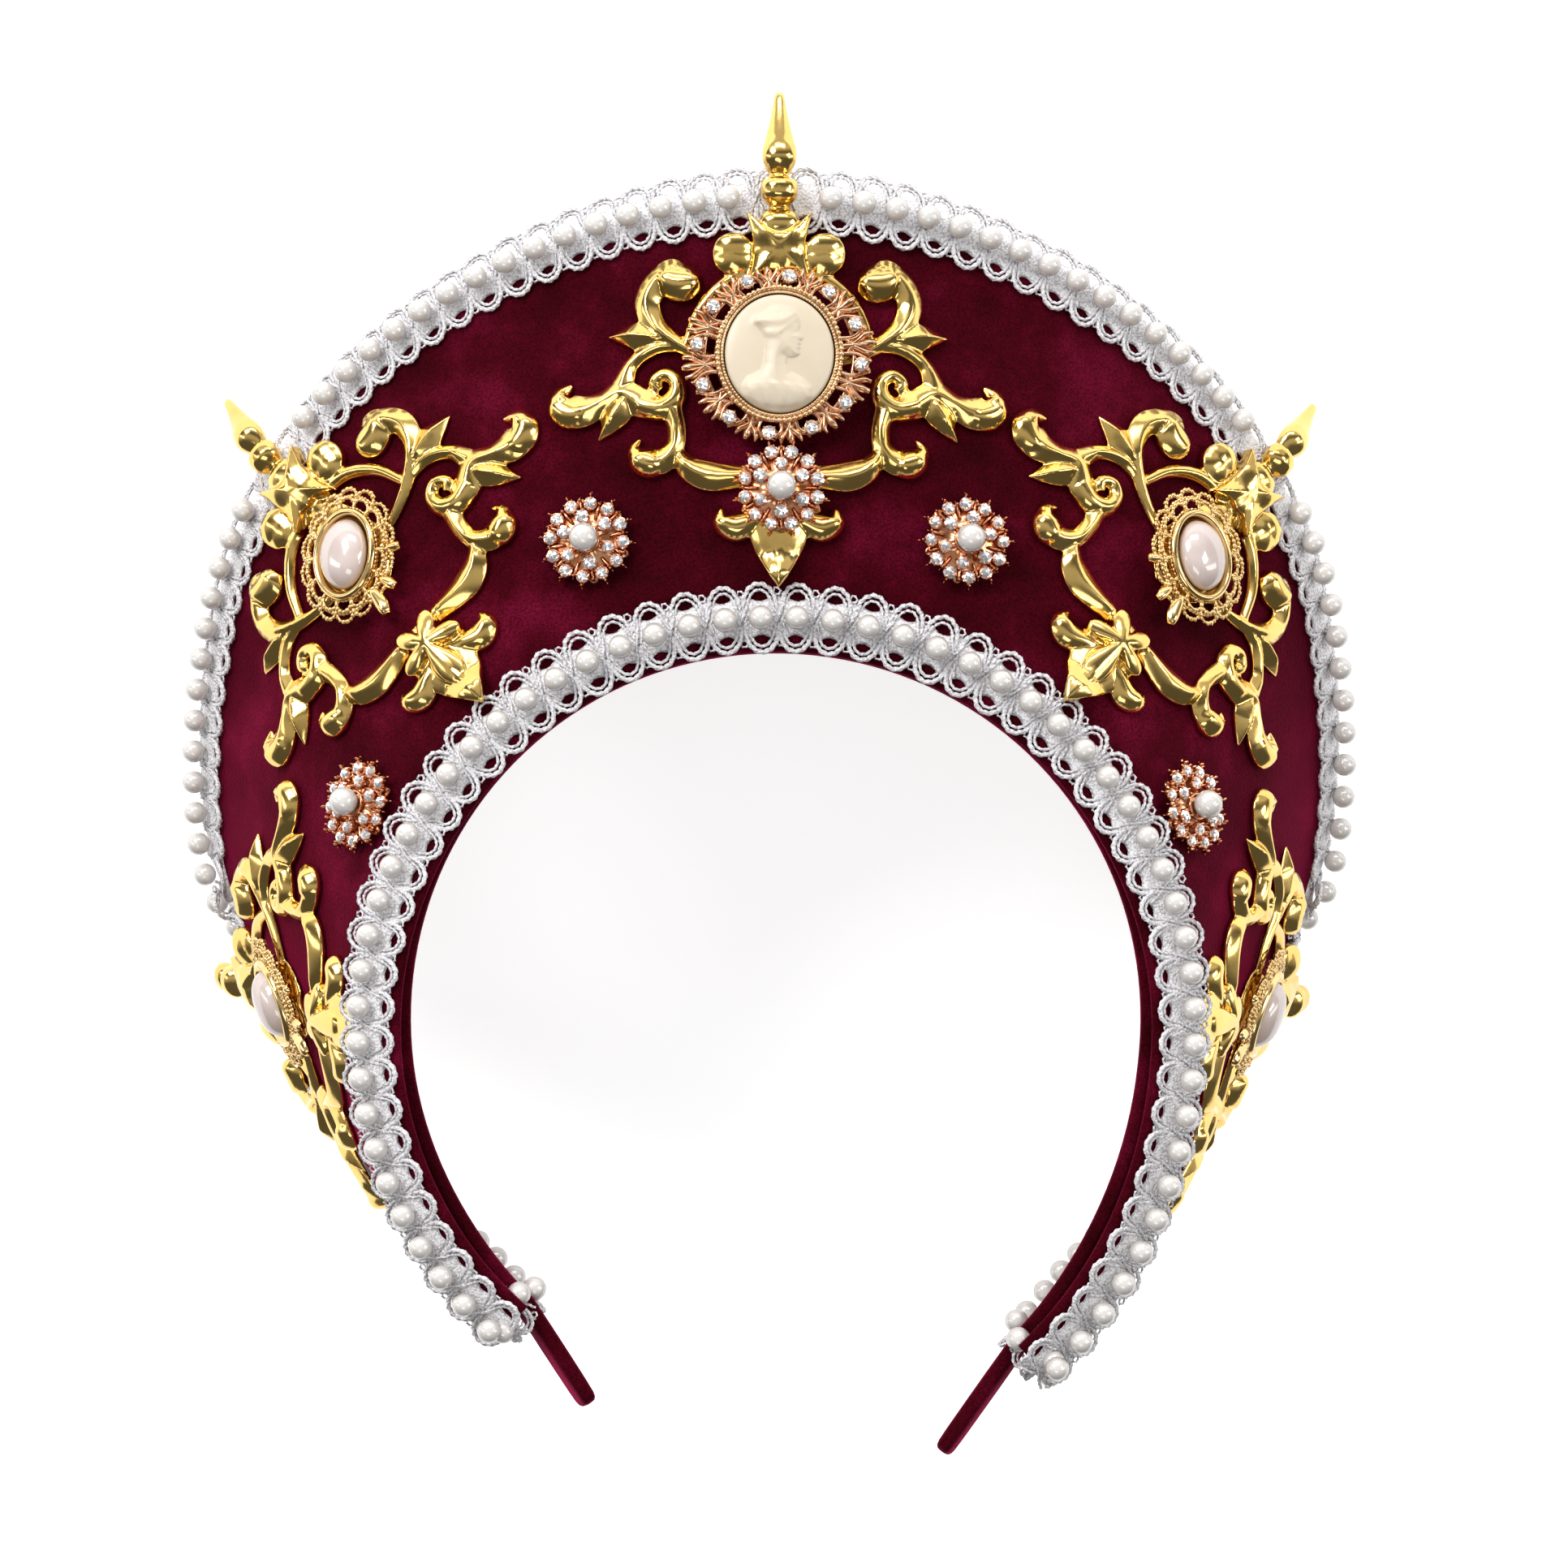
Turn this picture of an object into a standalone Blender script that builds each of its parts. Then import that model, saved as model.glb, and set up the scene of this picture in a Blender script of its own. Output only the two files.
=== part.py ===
"""A french hood: a stiffened velvet crescent on a headband, edged with lace and pearls and set with gold scroll
ornaments. Lengths in the tables are millimetres in the hood's own frame: X to the wearer's left, Y to the back,
Z up, and the origin at the middle of the headband's ring."""

import math

import bmesh
import bpy
import numpy as np
from mathutils import Vector

MM = 0.001

RING_RADIUS = 77.0          # headband trim's centre line
PANEL_END = 138.5           # ring angle of the crescent's ends, from the top
PANEL_THICKNESS = 2.2
INNER_MARGIN = 6.5          # crescent inside the trim's centre line
RIM_MARGIN = 1.4            # rim's edge inside the rim pearls' line
LACE_HALF = 6.8
LACE_THICKNESS = 0.9
SEAT_GAP = 0.32
PEARL_RADIUS = 2.3
PANEL_SECTIONS = 44
TRIM_SECTIONS = 44
RIGHT_END_ANGLE = 4.2       # the right end runs this much further round
RIGHT_END_SPREAD = 5.0      # and this much wider
RIGHT_END_FROM = 95.0

# ring angle from the top, radius and depth of the rim, slope of the cloth at the band and at the rim, and the turn
# of the trim and of the cloth's margin under it
SECTION_COLUMNS = ("angle", "rim_radius", "rim_depth", "band_slope", "rim_slope", "trim_turn")
SECTIONS = np.array([
    (0.0, 157.0, 6.0, 1.0, 7.0, 0.0),
    (20.0, 153.8, 17.7, 8.0, 19.0, 4.0),
    (40.0, 146.2, 36.4, 20.0, 35.0, 11.0),
    (50.0, 139.4, 46.0, 28.0, 43.0, 16.0),
    (58.0, 131.6, 53.6, 35.0, 50.0, 21.0),
    (66.0, 124.2, 60.3, 43.0, 57.0, 26.0),
    (74.0, 117.2, 65.9, 50.0, 63.0, 31.0),
    (83.0, 107.7, 67.5, 58.0, 70.0, 35.0),
    (96.0, 96.3, 65.1, 67.0, 77.0, 38.0),
    (111.0, 86.5, 54.6, 72.0, 90.0, 39.0),
    (120.0, 80.0, 45.0, 74.0, 112.0, 39.0),
    (128.0, 75.5, 33.0, 75.0, 140.0, 39.0),
    (134.0, 74.0, 25.0, 76.0, 160.0, 38.0),
    (138.5, 73.5, 20.0, 76.0, 170.0, 38.0),
])

# ring angle, radius and depth of the band's centre line, lean of its section
BAND_COLUMNS = ("angle", "radius", "depth", "lean")
BAND_ROWS = np.array([
    (0.0, 72.2, 7.7, 0.0),
    (60.0, 72.0, 7.2, 6.0),
    (95.0, 71.6, 6.4, 12.0),
    (125.0, 71.4, 6.2, 14.0),
    (138.5, 72.0, 6.2, 14.0),
])
BAND_DEPTH = 10.0
BAND_THICKNESS = 3.4
BAND_SECTIONS = 30
BAND_TIP_LEFT = (-35.4, -72.8)
BAND_TIP_RIGHT = (32.0, -82.0)

# where each ornament sits: ring angle, distance from the trim's line as a share of the width, turn on the cloth
SCROLL_COLUMNS = ("name", "angle", "across", "turn")
SCROLLS = (
    ("scroll_centre", 0.0, 0.622, 0.0),
    ("scroll_upper_left", -42.3, 0.622, 0.5),
    ("scroll_upper_right", 41.8, 0.615, 0.5),
    ("scroll_lower_left", -88.2, 0.645, 13.5),
    ("scroll_lower_right", 89.2, 0.640, -10.5),
)
SCROLL_LIFT = 0.35
SCROLL_SCALE = 1.04
SCROLL_SHARE = 0.68
SCROLL_RISE = 1.25            # step up over the trims

# strokes of the left half of a scroll ornament, as x, y and half width along each, the middle of the cabochon at 0, 0
MIDDLE_STROKES = (
    ("spear", "turned", 1.0, ((0, 49.5, 0.5), (0, 44.5, 1.6), (0, 38.5, 2.9), (0, 35.5, 2.8), (0, 33.0, 1.5))),
    ("ball", "turned", 1.0, ((0, 33.3, 1.5), (0, 31.9, 3.1), (0, 29.4, 3.1), (0, 27.6, 1.6))),
    ("collar", "round", 2.0, ((0, 28.4, 1.8), (0, 26.4, 2.7), (0, 23.0, 2.6), (0, 20.0, 1.6))),
    ("bottom_leaf", "leaf", 2.3, ((0, -42.3, 0.2), (0, -38.6, 3.4), (0, -34.0, 5.2), (0, -29.5, 3.2), (0, -21.4, 1.5))),
    ("seat", "round", 1.5, ((0, -9.0, 2.6), (0, -6.0, 6.0), (0, 5.0, 6.6), (0, 12.0, 4.4), (0, 18.0, 2.0))),
)
SIDE_STROKES = (
    ("plate", "leaf", 2.5, ((-5.7, 26.9, 0.2), (-3.3, 22.8, 2.5), (-0.4, 15.6, 0.7))),
    ("lobe", "round", 2.6, ((-11.3, 19.4, 1.2), (-9.6, 19.4, 3.3), (-6.8, 19.3, 3.7), (-3.2, 19.0, 2.2))),
    ("shoulder", "round", 1.6, ((-3.0, 16.6, 1.5), (-9.5, 13.8, 1.3), (-14.2, 8.6, 1.2), (-16.6, 2.6, 1.2))),
    ("upper_scroll", "round", 2.3, ((-14.7, 14.6, 1.5), (-17.4, 14.7, 3.1), (-21.2, 14.4, 2.9), (-24.1, 11.0, 2.6),
                                    (-23.4, 6.8, 2.1), (-18.6, 2.8, 1.4), (-11.0, -0.6, 1.2), (-4.0, -1.6, 1.2))),
    ("side_leaf", "leaf", 1.9, ((-31.8, 4.9, 0.15), (-27.2, 4.6, 2.3), (-21.6, 5.2, 0.9))),
    ("arch", "round", 1.9, ((-17.0, 1.9, 1.0), (-24.0, 1.4, 1.3), (-27.8, -2.4, 1.5), (-28.6, -8.0, 2.0))),
    ("arm", "round", 2.2, ((-38.3, -4.4, 0.3), (-40.5, -7.2, 2.1), (-39.4, -10.0, 2.6), (-35.0, -9.8, 1.8),
                           (-30.2, -8.6, 1.9), (-26.6, -9.0, 2.0))),
    ("down_leaf", "leaf", 2.0, ((-33.5, -15.3, 0.15), (-30.8, -11.4, 2.2), (-28.2, -7.4, 1.0))),
    ("curl", "round", 2.1, ((-28.6, -8.6, 1.9), (-23.8, -9.4, 2.0), (-20.3, -7.4, 1.4), (-19.9, -4.6, 1.4),
                            (-21.9, -4.3, 1.7))),
    ("stem", "round", 2.1, ((-25.3, -15.6, 0.3), (-26.0, -18.0, 1.6), (-23.6, -19.9, 2.1), (-20.0, -18.4, 1.6),
                            (-18.3, -14.4, 1.4), (-19.6, -10.0, 1.5), (-22.4, -7.8, 1.2))),
    ("bottom_arc", "round", 2.1, ((-18.8, -17.8, 1.3), (-15.6, -21.2, 2.2), (-10.4, -22.4, 2.3), (-4.4, -22.6, 1.8),
                                  (0.4, -22.9, 1.7))),
    ("bottom_lobe", "round", 2.1, ((-10.2, -28.8, 0.4), (-10.0, -31.0, 1.8), (-7.4, -32.3, 2.3), (-3.0, -30.9, 1.7),
                                   (0.3, -29.0, 1.6))),
)

SEAT_HEIGHT = 1.5
CAMEO_HALF = (10.4, 11.4)
CAMEO_OUTER = (18.4, 16.0)
CAMEO_THICKNESS = 3.4
CAMEO_LIFT = 1.62             # underside of the setting over the ornament's own underside
CENTRE_FLOWER_LIFT = 1.70
CABOCHON_HALF = (5.4, 7.0)
CABOCHON_OUTER = (11.2, 12.8)
# every cabochon stands upright on the worn hood, whichever way its ornament points
CABOCHON_TURNS = {"upper_left": 44.0, "upper_right": -54.0, "lower_left": 84.0, "lower_right": -84.0}
CABOCHON_HEIGHT = 4.2
FLOWER_RADIUS = 8.8
FLOWER_PEARL_RADIUS = 2.6

# strings of rim pearls between the ornaments: first and last ring angle
RIM_STRINGS = (
    ("rim_pearls_left_end", -136.5, -84.6),
    ("rim_pearls_left_side", -82.4, -45.2),
    ("rim_pearls_left_top", -38.6, -2.6),
    ("rim_pearls_right_top", 2.6, 38.4),
    ("rim_pearls_right_side", 45.0, 84.2),
    ("rim_pearls_right_end", 86.4, 136.5),
)

RIM_TURNS_AT = 90.0         # strings reaching past this angle lie on the rim's edge, under the ornaments

# flower brooches on the cloth: ring angle, distance across as a share of the width, turn
FLOWER_COLUMNS = ("name", "angle", "across", "turn")
FLOWERS = (
    ("mid_left", -21.5, 0.265, 12.0),
    ("mid_right", 21.2, 0.265, -8.0),
    ("low_left", -62.5, 0.20, 20.0),
    ("low_right", 62.5, 0.20, -5.0),
)

# rest: the hood leans back, face up, on its lower spears and the lower ends of its rim
REST_TILT = -109.604
REST_ROLL = 0.116
REST_PLACE = (0.165, -41.706, 87.244)


# Setting up

def clear_scene():
    for obj in list(bpy.data.objects):
        bpy.data.objects.remove(obj)


def material(name, color, metallic, roughness, coat=0.0, sheen=0.0):
    made = bpy.data.materials.new(name)
    made.use_nodes = True
    shader = made.node_tree.nodes["Principled BSDF"]
    shader.inputs["Base Color"].default_value = (*color, 1.0)
    shader.inputs["Metallic"].default_value = metallic
    shader.inputs["Roughness"].default_value = roughness
    shader.inputs["Coat Weight"].default_value = coat
    shader.inputs["Sheen Weight"].default_value = sheen
    return made


def solid(name, verts, faces, finish, rest, smooth=True):
    mesh = bpy.data.meshes.new(name)
    mesh.from_pydata([tuple(v) for v in np.asarray(verts) * MM], [], [tuple(f) for f in faces])
    bm = bmesh.new()
    bm.from_mesh(mesh)
    bmesh.ops.remove_doubles(bm, verts=bm.verts, dist=0.00002)
    bmesh.ops.recalc_face_normals(bm, faces=bm.faces)
    bm.to_mesh(mesh)
    bm.free()
    mesh.materials.append(finish)
    if smooth:
        mesh.shade_smooth()
    obj = bpy.data.objects.new(name, mesh)
    bpy.context.scene.collection.objects.link(obj)
    obj.parent = rest
    return obj


# The cloth's surface

def column(table, names, name, angle):
    """A smooth curve through a table's column, level at the top of the ring."""
    rows = np.vstack([table[1] * [-1] + table[1] * 0, table])
    rows[0] = table[1]
    rows[0, 0] = -table[1, 0]
    x = rows[:, 0]
    y = rows[:, names.index(name)]
    slope = np.gradient(y, x)
    angle = np.clip(np.abs(angle), 0.0, x[-1])
    i = np.clip(np.searchsorted(x, angle, side="right") - 1, 0, len(x) - 2)
    h = x[i + 1] - x[i]
    u = (angle - x[i]) / h
    a = 2 * u**3 - 3 * u**2 + 1
    b = u**3 - 2 * u**2 + u
    c = 3 * u**2 - 2 * u**3
    d = u**3 - u**2
    return a * y[i] + b * h * slope[i] + c * y[i + 1] + d * h * slope[i + 1]


def ring(angle):
    """True ring angle and extra radius of a table's angle, whose right end runs on."""
    share = np.clip((angle - RIGHT_END_FROM) / (PANEL_END - RIGHT_END_FROM), 0.0, None) ** 1.6
    return angle + RIGHT_END_ANGLE * share, RIGHT_END_SPREAD * share


def cloth(angle, across):
    """Front of the cloth: 0 at the band trim's line and 1 at the rim pearls' line, straight on beyond both."""
    angle = np.asarray(angle, float)
    across = np.asarray(across, float)
    r1 = column(SECTIONS, SECTION_COLUMNS, "rim_radius", angle)
    y1 = column(SECTIONS, SECTION_COLUMNS, "rim_depth", angle)
    s0 = np.radians(column(SECTIONS, SECTION_COLUMNS, "band_slope", angle))
    s1 = np.radians(column(SECTIONS, SECTION_COLUMNS, "rim_slope", angle))
    margin = np.radians(column(SECTIONS, SECTION_COLUMNS, "trim_turn", angle))
    reach = np.hypot(r1 - RING_RADIUS, y1) * 0.36
    t = np.clip(across, 0.0, 1.0)
    weights = ((1 - t) ** 3, 3 * t * (1 - t) ** 2, 3 * t**2 * (1 - t), t**3)
    radii = (RING_RADIUS, RING_RADIUS + reach * np.cos(s0), r1 - reach * np.cos(s1), r1)
    depths = (0.0, reach * np.sin(s0), y1 - reach * np.sin(s1), y1)
    radius = sum(w * r for w, r in zip(weights, radii))
    depth = sum(w * y for w, y in zip(weights, depths))
    before = np.clip(across, None, 0.0)
    past = np.clip(across - 1.0, 0.0, None)
    width = reach / 0.36
    radius = radius + (before * np.cos(margin) + past * np.cos(s1)) * width
    depth = depth + (before * np.sin(margin) + past * np.sin(s1)) * width
    true, spread = ring(angle)
    true = np.radians(true)
    radius = radius + spread
    return np.stack([radius * np.sin(true), depth + 0 * true, radius * np.cos(true)], axis=-1)


def unit(v):
    return v / np.maximum(np.linalg.norm(v, axis=-1, keepdims=True), 1e-12)


def cloth_frame(angle, across):
    """Point, direction along the ring, direction across and outward normal."""
    here = cloth(angle, across)
    along = unit(cloth(np.asarray(angle) + 0.05, across) - cloth(np.asarray(angle) - 0.05, across))
    out = cloth(angle, np.asarray(across) + 0.002) - cloth(angle, np.asarray(across) - 0.002)
    normal = unit(np.cross(along, out))
    return here, along, unit(np.cross(normal, along)), normal


def trim_frame(angle):
    """The same along the band trim's line, turned as the trim is."""
    here = cloth(angle, 0.0 * np.asarray(angle))
    along = unit(cloth(np.asarray(angle) + 0.05, 0.0) - cloth(np.asarray(angle) - 0.05, 0.0))
    inward = cloth(angle, -0.01 + 0.0 * np.asarray(angle)) - here
    normal = unit(np.cross(along, -inward))
    return here, along, unit(np.cross(normal, along)), normal


def width_at(angle):
    r1 = column(SECTIONS, SECTION_COLUMNS, "rim_radius", angle)
    y1 = column(SECTIONS, SECTION_COLUMNS, "rim_depth", angle)
    return np.hypot(r1 - RING_RADIUS, y1)


def laid_on_cloth(angle, across, turn, flat):
    """Flat x, y points laid on the cloth from a middle point, each walked there along the cloth: the point, the
    normal, the ring angle and the distance across."""
    flat = np.asarray(flat, float)
    count = len(flat)
    here, along, out, normal = (np.repeat(v[None], count, axis=0) for v in cloth_frame(angle, across))
    a = np.full(count, float(angle))
    t = np.full(count, float(across))
    c, s = math.cos(math.radians(turn)), math.sin(math.radians(turn))
    x = flat[:, :1] * c + flat[:, 1:2] * s
    y = flat[:, 1:2] * c - flat[:, :1] * s
    distance = np.hypot(x, y)
    way = (x * along + y * out) / np.maximum(distance, 1e-9)
    steps = 10
    for _ in range(steps):
        aim = here + way * distance / steps
        for _ in range(3):
            here = cloth(a, t)
            da = (cloth(a + 0.05, t) - cloth(a - 0.05, t)) / 0.1
            dt = (cloth(a, t + 0.002) - cloth(a, t - 0.002)) / 0.004
            miss = aim - here
            aa, at, tt = (da * da).sum(1), (da * dt).sum(1), (dt * dt).sum(1)
            ma, mt = (miss * da).sum(1), (miss * dt).sum(1)
            det = aa * tt - at * at
            a = a + (ma * tt - mt * at) / det
            t = t + (mt * aa - ma * at) / det
        here, _, _, normal = cloth_frame(a, t)
        way = unit(way - (way * normal).sum(1, keepdims=True) * normal)
    return here, normal, a, t


# Lofts

def loft(sections, closed_ends=True):
    """Faces between equal sections, each a closed loop of points."""
    n = len(sections[0])
    verts = [p for section in sections for p in section]
    faces = []
    for i in range(len(sections) - 1):
        for j in range(n):
            k = (j + 1) % n
            faces.append((i * n + j, i * n + k, (i + 1) * n + k, (i + 1) * n + j))
    if closed_ends:
        faces.append(tuple(range(n))[::-1])
        faces.append(tuple((len(sections) - 1) * n + j for j in range(n)))
    return verts, faces


def trim_angles(count):
    return np.linspace(-PANEL_END, PANEL_END, count)


def panel_grid(finish, rest):
    angles = trim_angles(PANEL_SECTIONS + 1)
    sections = []
    for angle in angles:
        width = float(width_at(angle))
        start, end = -INNER_MARGIN / width, 1.0 - RIM_MARGIN / width
        t = np.concatenate([[start], end * np.linspace(0.0, 1.0, 6)])
        here, _, _, normal = cloth_frame(np.full(len(t), angle), t)
        back = here - normal * PANEL_THICKNESS
        sections.append(list(here) + list(back[::-1]))
    verts, faces = loft(sections)
    return solid("hood_panel", verts, faces, finish, rest)


def band_frame(angle):
    radius = float(column(BAND_ROWS, BAND_COLUMNS, "radius", angle))
    depth = float(column(BAND_ROWS, BAND_COLUMNS, "depth", angle))
    lean = math.radians(float(column(BAND_ROWS, BAND_COLUMNS, "lean", angle)))
    true, spread = ring(np.asarray(angle, float))
    true = math.radians(float(true))
    radial = np.array([math.sin(true), 0.0, math.cos(true)])
    here = radial * (radius + float(spread)) + np.array([0.0, depth, 0.0])
    deep = np.array([0.0, math.cos(lean), 0.0]) + radial * math.sin(lean)
    thick = radial * math.cos(lean) - np.array([0.0, math.sin(lean), 0.0])
    return here, deep, thick


def band_section(here, deep, thick):
    w, h = BAND_DEPTH / 2, BAND_THICKNESS / 2
    corners = ((-w, -0.45 * h), (-0.84 * w, -h), (0.84 * w, -h), (w, -0.45 * h),
               (w, 0.45 * h), (0.84 * w, h), (-0.84 * w, h), (-w, 0.45 * h))
    return [here + deep * a + thick * b for a, b in corners]


def headband(finish, rest):
    sections = []
    for angle in trim_angles(BAND_SECTIONS + 1):
        sections.append(band_section(*band_frame(angle)))
    for tip, at_start in ((BAND_TIP_LEFT, True), (BAND_TIP_RIGHT, False)):
        here, deep, thick = band_frame(-PANEL_END if at_start else PANEL_END)
        end = np.array([tip[0], here[1], tip[1]])
        way = unit(end - here)
        thick = unit(np.cross(way, deep))
        if thick @ here < 0:
            thick = -thick
        rings = [band_section(here + way * 6.0, deep, thick), band_section(end, deep, thick)]
        sections = rings[::-1] + sections if at_start else sections + rings
    verts, faces = loft(sections)
    return solid("headband", verts, faces, finish, rest, smooth=False)


def scallop(i):
    return 1.0 if i % 2 else 0.86


def band_lace(finish, rest):
    sections = []
    for i, angle in enumerate(trim_angles(2 * TRIM_SECTIONS // 2 + 1)):
        half = LACE_HALF * scallop(i)
        here, _, out, normal = trim_frame(angle)
        low = here + normal * SEAT_GAP
        high = low + normal * LACE_THICKNESS
        sections.append([low - out * half, low + out * half, high + out * half, high - out * half])
    verts, faces = loft(sections)
    return solid("band_trim_lace", verts, faces, finish, rest)


def rim_lace(finish, rest):
    sections = []
    for i, angle in enumerate(trim_angles(TRIM_SECTIONS + 1)):
        width = float(width_at(angle))
        leg = min(LACE_HALF * 0.75 * scallop(i), width * 0.2)
        edge = 1.0 - RIM_MARGIN / width
        here, _, out, normal = cloth_frame(np.full(2, angle), np.array([edge - leg / width, edge]))
        behind = PANEL_THICKNESS + SEAT_GAP + 0.1 + 0.04 * max(abs(angle) - 108.0, 0.0)
        inner_low = here[0] - normal[0] * behind
        inner_front = here[0] + normal[0] * SEAT_GAP
        side = out[1] * SEAT_GAP
        more = LACE_THICKNESS
        corner_front = here[1] + normal[1] * SEAT_GAP + side
        corner_back = here[1] - normal[1] * behind + side
        sections.append([
            inner_front, corner_front, corner_back, inner_low, inner_low - normal[0] * more,
            corner_back - normal[1] * more + out[1] * more, corner_front + (normal[1] + out[1]) * more,
            inner_front + normal[0] * more,
        ])
    verts, faces = loft(sections)
    return solid("rim_trim_lace", verts, faces, finish, rest)


def pearl_string(name, points, finish, rest):
    curve = bpy.data.curves.new(name, "CURVE")
    curve.dimensions = "3D"
    line = curve.splines.new("POLY")
    line.points.add(len(points) - 1)
    for p, q in zip(line.points, points):
        p.co = (*(q * MM), 1.0)
    curve.bevel_depth = PEARL_RADIUS * MM
    curve.bevel_resolution = 1
    curve.use_fill_caps = True
    curve.materials.append(finish)
    obj = bpy.data.objects.new(name, curve)
    bpy.context.scene.collection.objects.link(obj)
    obj.parent = rest
    return obj


def band_pearl_line():
    angles = trim_angles(50)[1:-1]
    here, _, _, normal = trim_frame(angles)
    return here + normal * (2 * SEAT_GAP + LACE_THICKNESS + PEARL_RADIUS)


def rim_pearl_line(start, end):
    angles = np.linspace(start, end, 2 + int(round((end - start) / 5.2)))
    edge = 1.0 - RIM_MARGIN / width_at(angles)
    here, _, out, normal = cloth_frame(angles, edge)
    reach = 2 * SEAT_GAP + LACE_THICKNESS + PEARL_RADIUS
    if max(abs(start), abs(end)) > RIM_TURNS_AT:
        return here + out * (reach + 0.1) - normal * PANEL_THICKNESS / 2
    return here + normal * reach + out * (RIM_MARGIN - 0.2)


# Scroll ornaments

def stroke_mesh(kind, height, rows):
    rows = np.array(rows, float)
    way = np.gradient(rows[:, :2], axis=0)
    way = way / np.linalg.norm(way, axis=1, keepdims=True)
    sections = []
    for (x, y, w), (dx, dy) in zip(rows, way):
        side = np.array([-dy, dx])
        tall = min(height, 1.15 * w + 0.35)
        if kind == "turned":
            shape = ((-0.75, 0.0), (-1.0, 0.9), (-0.6, 1.7), (0.6, 1.7), (1.0, 0.9), (0.75, 0.0))
            shape = [(a * w, b * w) for a, b in shape]
        elif kind == "leaf":
            shape = [(-w, 0.0), (0.0, tall), (w, 0.0)]
        else:
            shape = [(-w, 0.0), (-0.56 * w, tall), (0.56 * w, tall), (w, 0.0)]
        sections.append([(x + side[0] * a, y + side[1] * a, b) for a, b in shape])
    return loft(sections)


def mirrored(rows):
    return [(-x, y, w) for x, y, w in rows]


def united(name, pieces):
    """One mesh from overlapping closed pieces, given as points and faces."""
    home = bpy.data.collections.new(name + "_pieces")
    bpy.context.scene.collection.children.link(home)
    home.hide_render = True
    objects = []
    for i, (verts, faces) in enumerate(pieces):
        mesh = bpy.data.meshes.new(f"{name}_{i}")
        mesh.from_pydata([tuple(v) for v in verts], [], faces)
        bm = bmesh.new()
        bm.from_mesh(mesh)
        bmesh.ops.recalc_face_normals(bm, faces=bm.faces)
        bm.to_mesh(mesh)
        bm.free()
        obj = bpy.data.objects.new(f"{name}_{i}", mesh)
        obj.hide_render = True
        obj.display_type = "WIRE"
        objects.append(obj)
    first = objects[0]
    bpy.context.scene.collection.objects.link(first)
    for obj in objects[1:]:
        home.objects.link(obj)
    boolean = first.modifiers.new("union", "BOOLEAN")
    boolean.operation = "UNION"
    boolean.solver = "EXACT"
    boolean.operand_type = "COLLECTION"
    boolean.collection = home
    bpy.context.view_layer.update()
    graph = bpy.context.evaluated_depsgraph_get()
    made = bpy.data.meshes.new_from_object(first.evaluated_get(graph))
    for obj in objects:
        bpy.data.objects.remove(obj)
    bpy.data.collections.remove(home)
    bm = bmesh.new()
    bm.from_mesh(made)
    bmesh.ops.remove_doubles(bm, verts=bm.verts, dist=0.02)
    bmesh.ops.dissolve_limit(bm, angle_limit=0.01, verts=bm.verts, edges=bm.edges)
    bmesh.ops.triangulate(bm, faces=bm.faces)
    bm.to_mesh(made)
    bm.free()
    verts = np.array([v.co[:] for v in made.vertices])
    faces = [tuple(p.vertices) for p in made.polygons]
    bpy.data.meshes.remove(made)
    return verts, faces


def lightened(verts, faces, share):
    mesh = bpy.data.meshes.new("lightened")
    mesh.from_pydata([tuple(v) for v in verts], [], faces)
    obj = bpy.data.objects.new("lightened", mesh)
    bpy.context.scene.collection.objects.link(obj)
    decimate = obj.modifiers.new("lighten", "DECIMATE")
    decimate.ratio = share
    bpy.context.view_layer.update()
    graph = bpy.context.evaluated_depsgraph_get()
    made = bpy.data.meshes.new_from_object(obj.evaluated_get(graph))
    verts = np.array([v.co[:] for v in made.vertices])
    faces = [tuple(p.vertices) for p in made.polygons]
    bpy.data.objects.remove(obj)
    bpy.data.meshes.remove(made)
    return verts, faces


def scroll_flat():
    pieces = [stroke_mesh(kind, height, rows) for _, kind, height, rows in MIDDLE_STROKES]
    for _, kind, height, rows in SIDE_STROKES:
        pieces.append(stroke_mesh(kind, height, rows))
        pieces.append(stroke_mesh(kind, height, mirrored(rows)))
    verts, faces = united("scroll", pieces)
    return lightened(verts, faces, SCROLL_SHARE)


def scrolls(finish, rest):
    verts, faces = scroll_flat()
    verts = verts * [SCROLL_SCALE, SCROLL_SCALE, 1.0]
    for name, angle, across, turn in SCROLLS:
        here, normal, a, t = laid_on_cloth(angle, across, turn, verts)
        width = width_at(a)
        from_rim = (1.0 - t) * width - RIM_MARGIN - LACE_HALF * 0.75
        from_band = t * width - LACE_HALF
        if "lower" in name:
            from_band = from_band + 100.0
        over_rim = np.clip((3.6 - from_rim) / 3.0, 0.0, 1.0)
        over_band = np.clip((4.5 - from_band) / 3.5, 0.0, 1.0)
        height = SCROLL_LIFT + verts[:, 2] + SCROLL_RISE * (over_rim + 2.0 * over_band)
        solid(name, here + normal * height[:, None], faces, finish, rest)


# Settings and stones, made flat and then set on the cloth as stiff pieces

def oval(half, count, height, grow=0.0):
    a = np.arange(count) * 2 * math.pi / count
    return [((half[0] + grow) * math.sin(q), (half[1] + grow) * math.cos(q), height) for q in a]


def bezel_mesh(half, count, rise, inside, outside, floor_height):
    """A cup: a floor with a standing wall around it."""
    outer_low = oval(half, count, 0.0, outside)
    outer_high = oval(half, count, rise, outside * 0.8)
    inner_high = oval(half, count, rise, inside)
    inner_low = oval(half, count, floor_height, inside)
    return loft([outer_low, outer_high, inner_high, inner_low])


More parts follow.
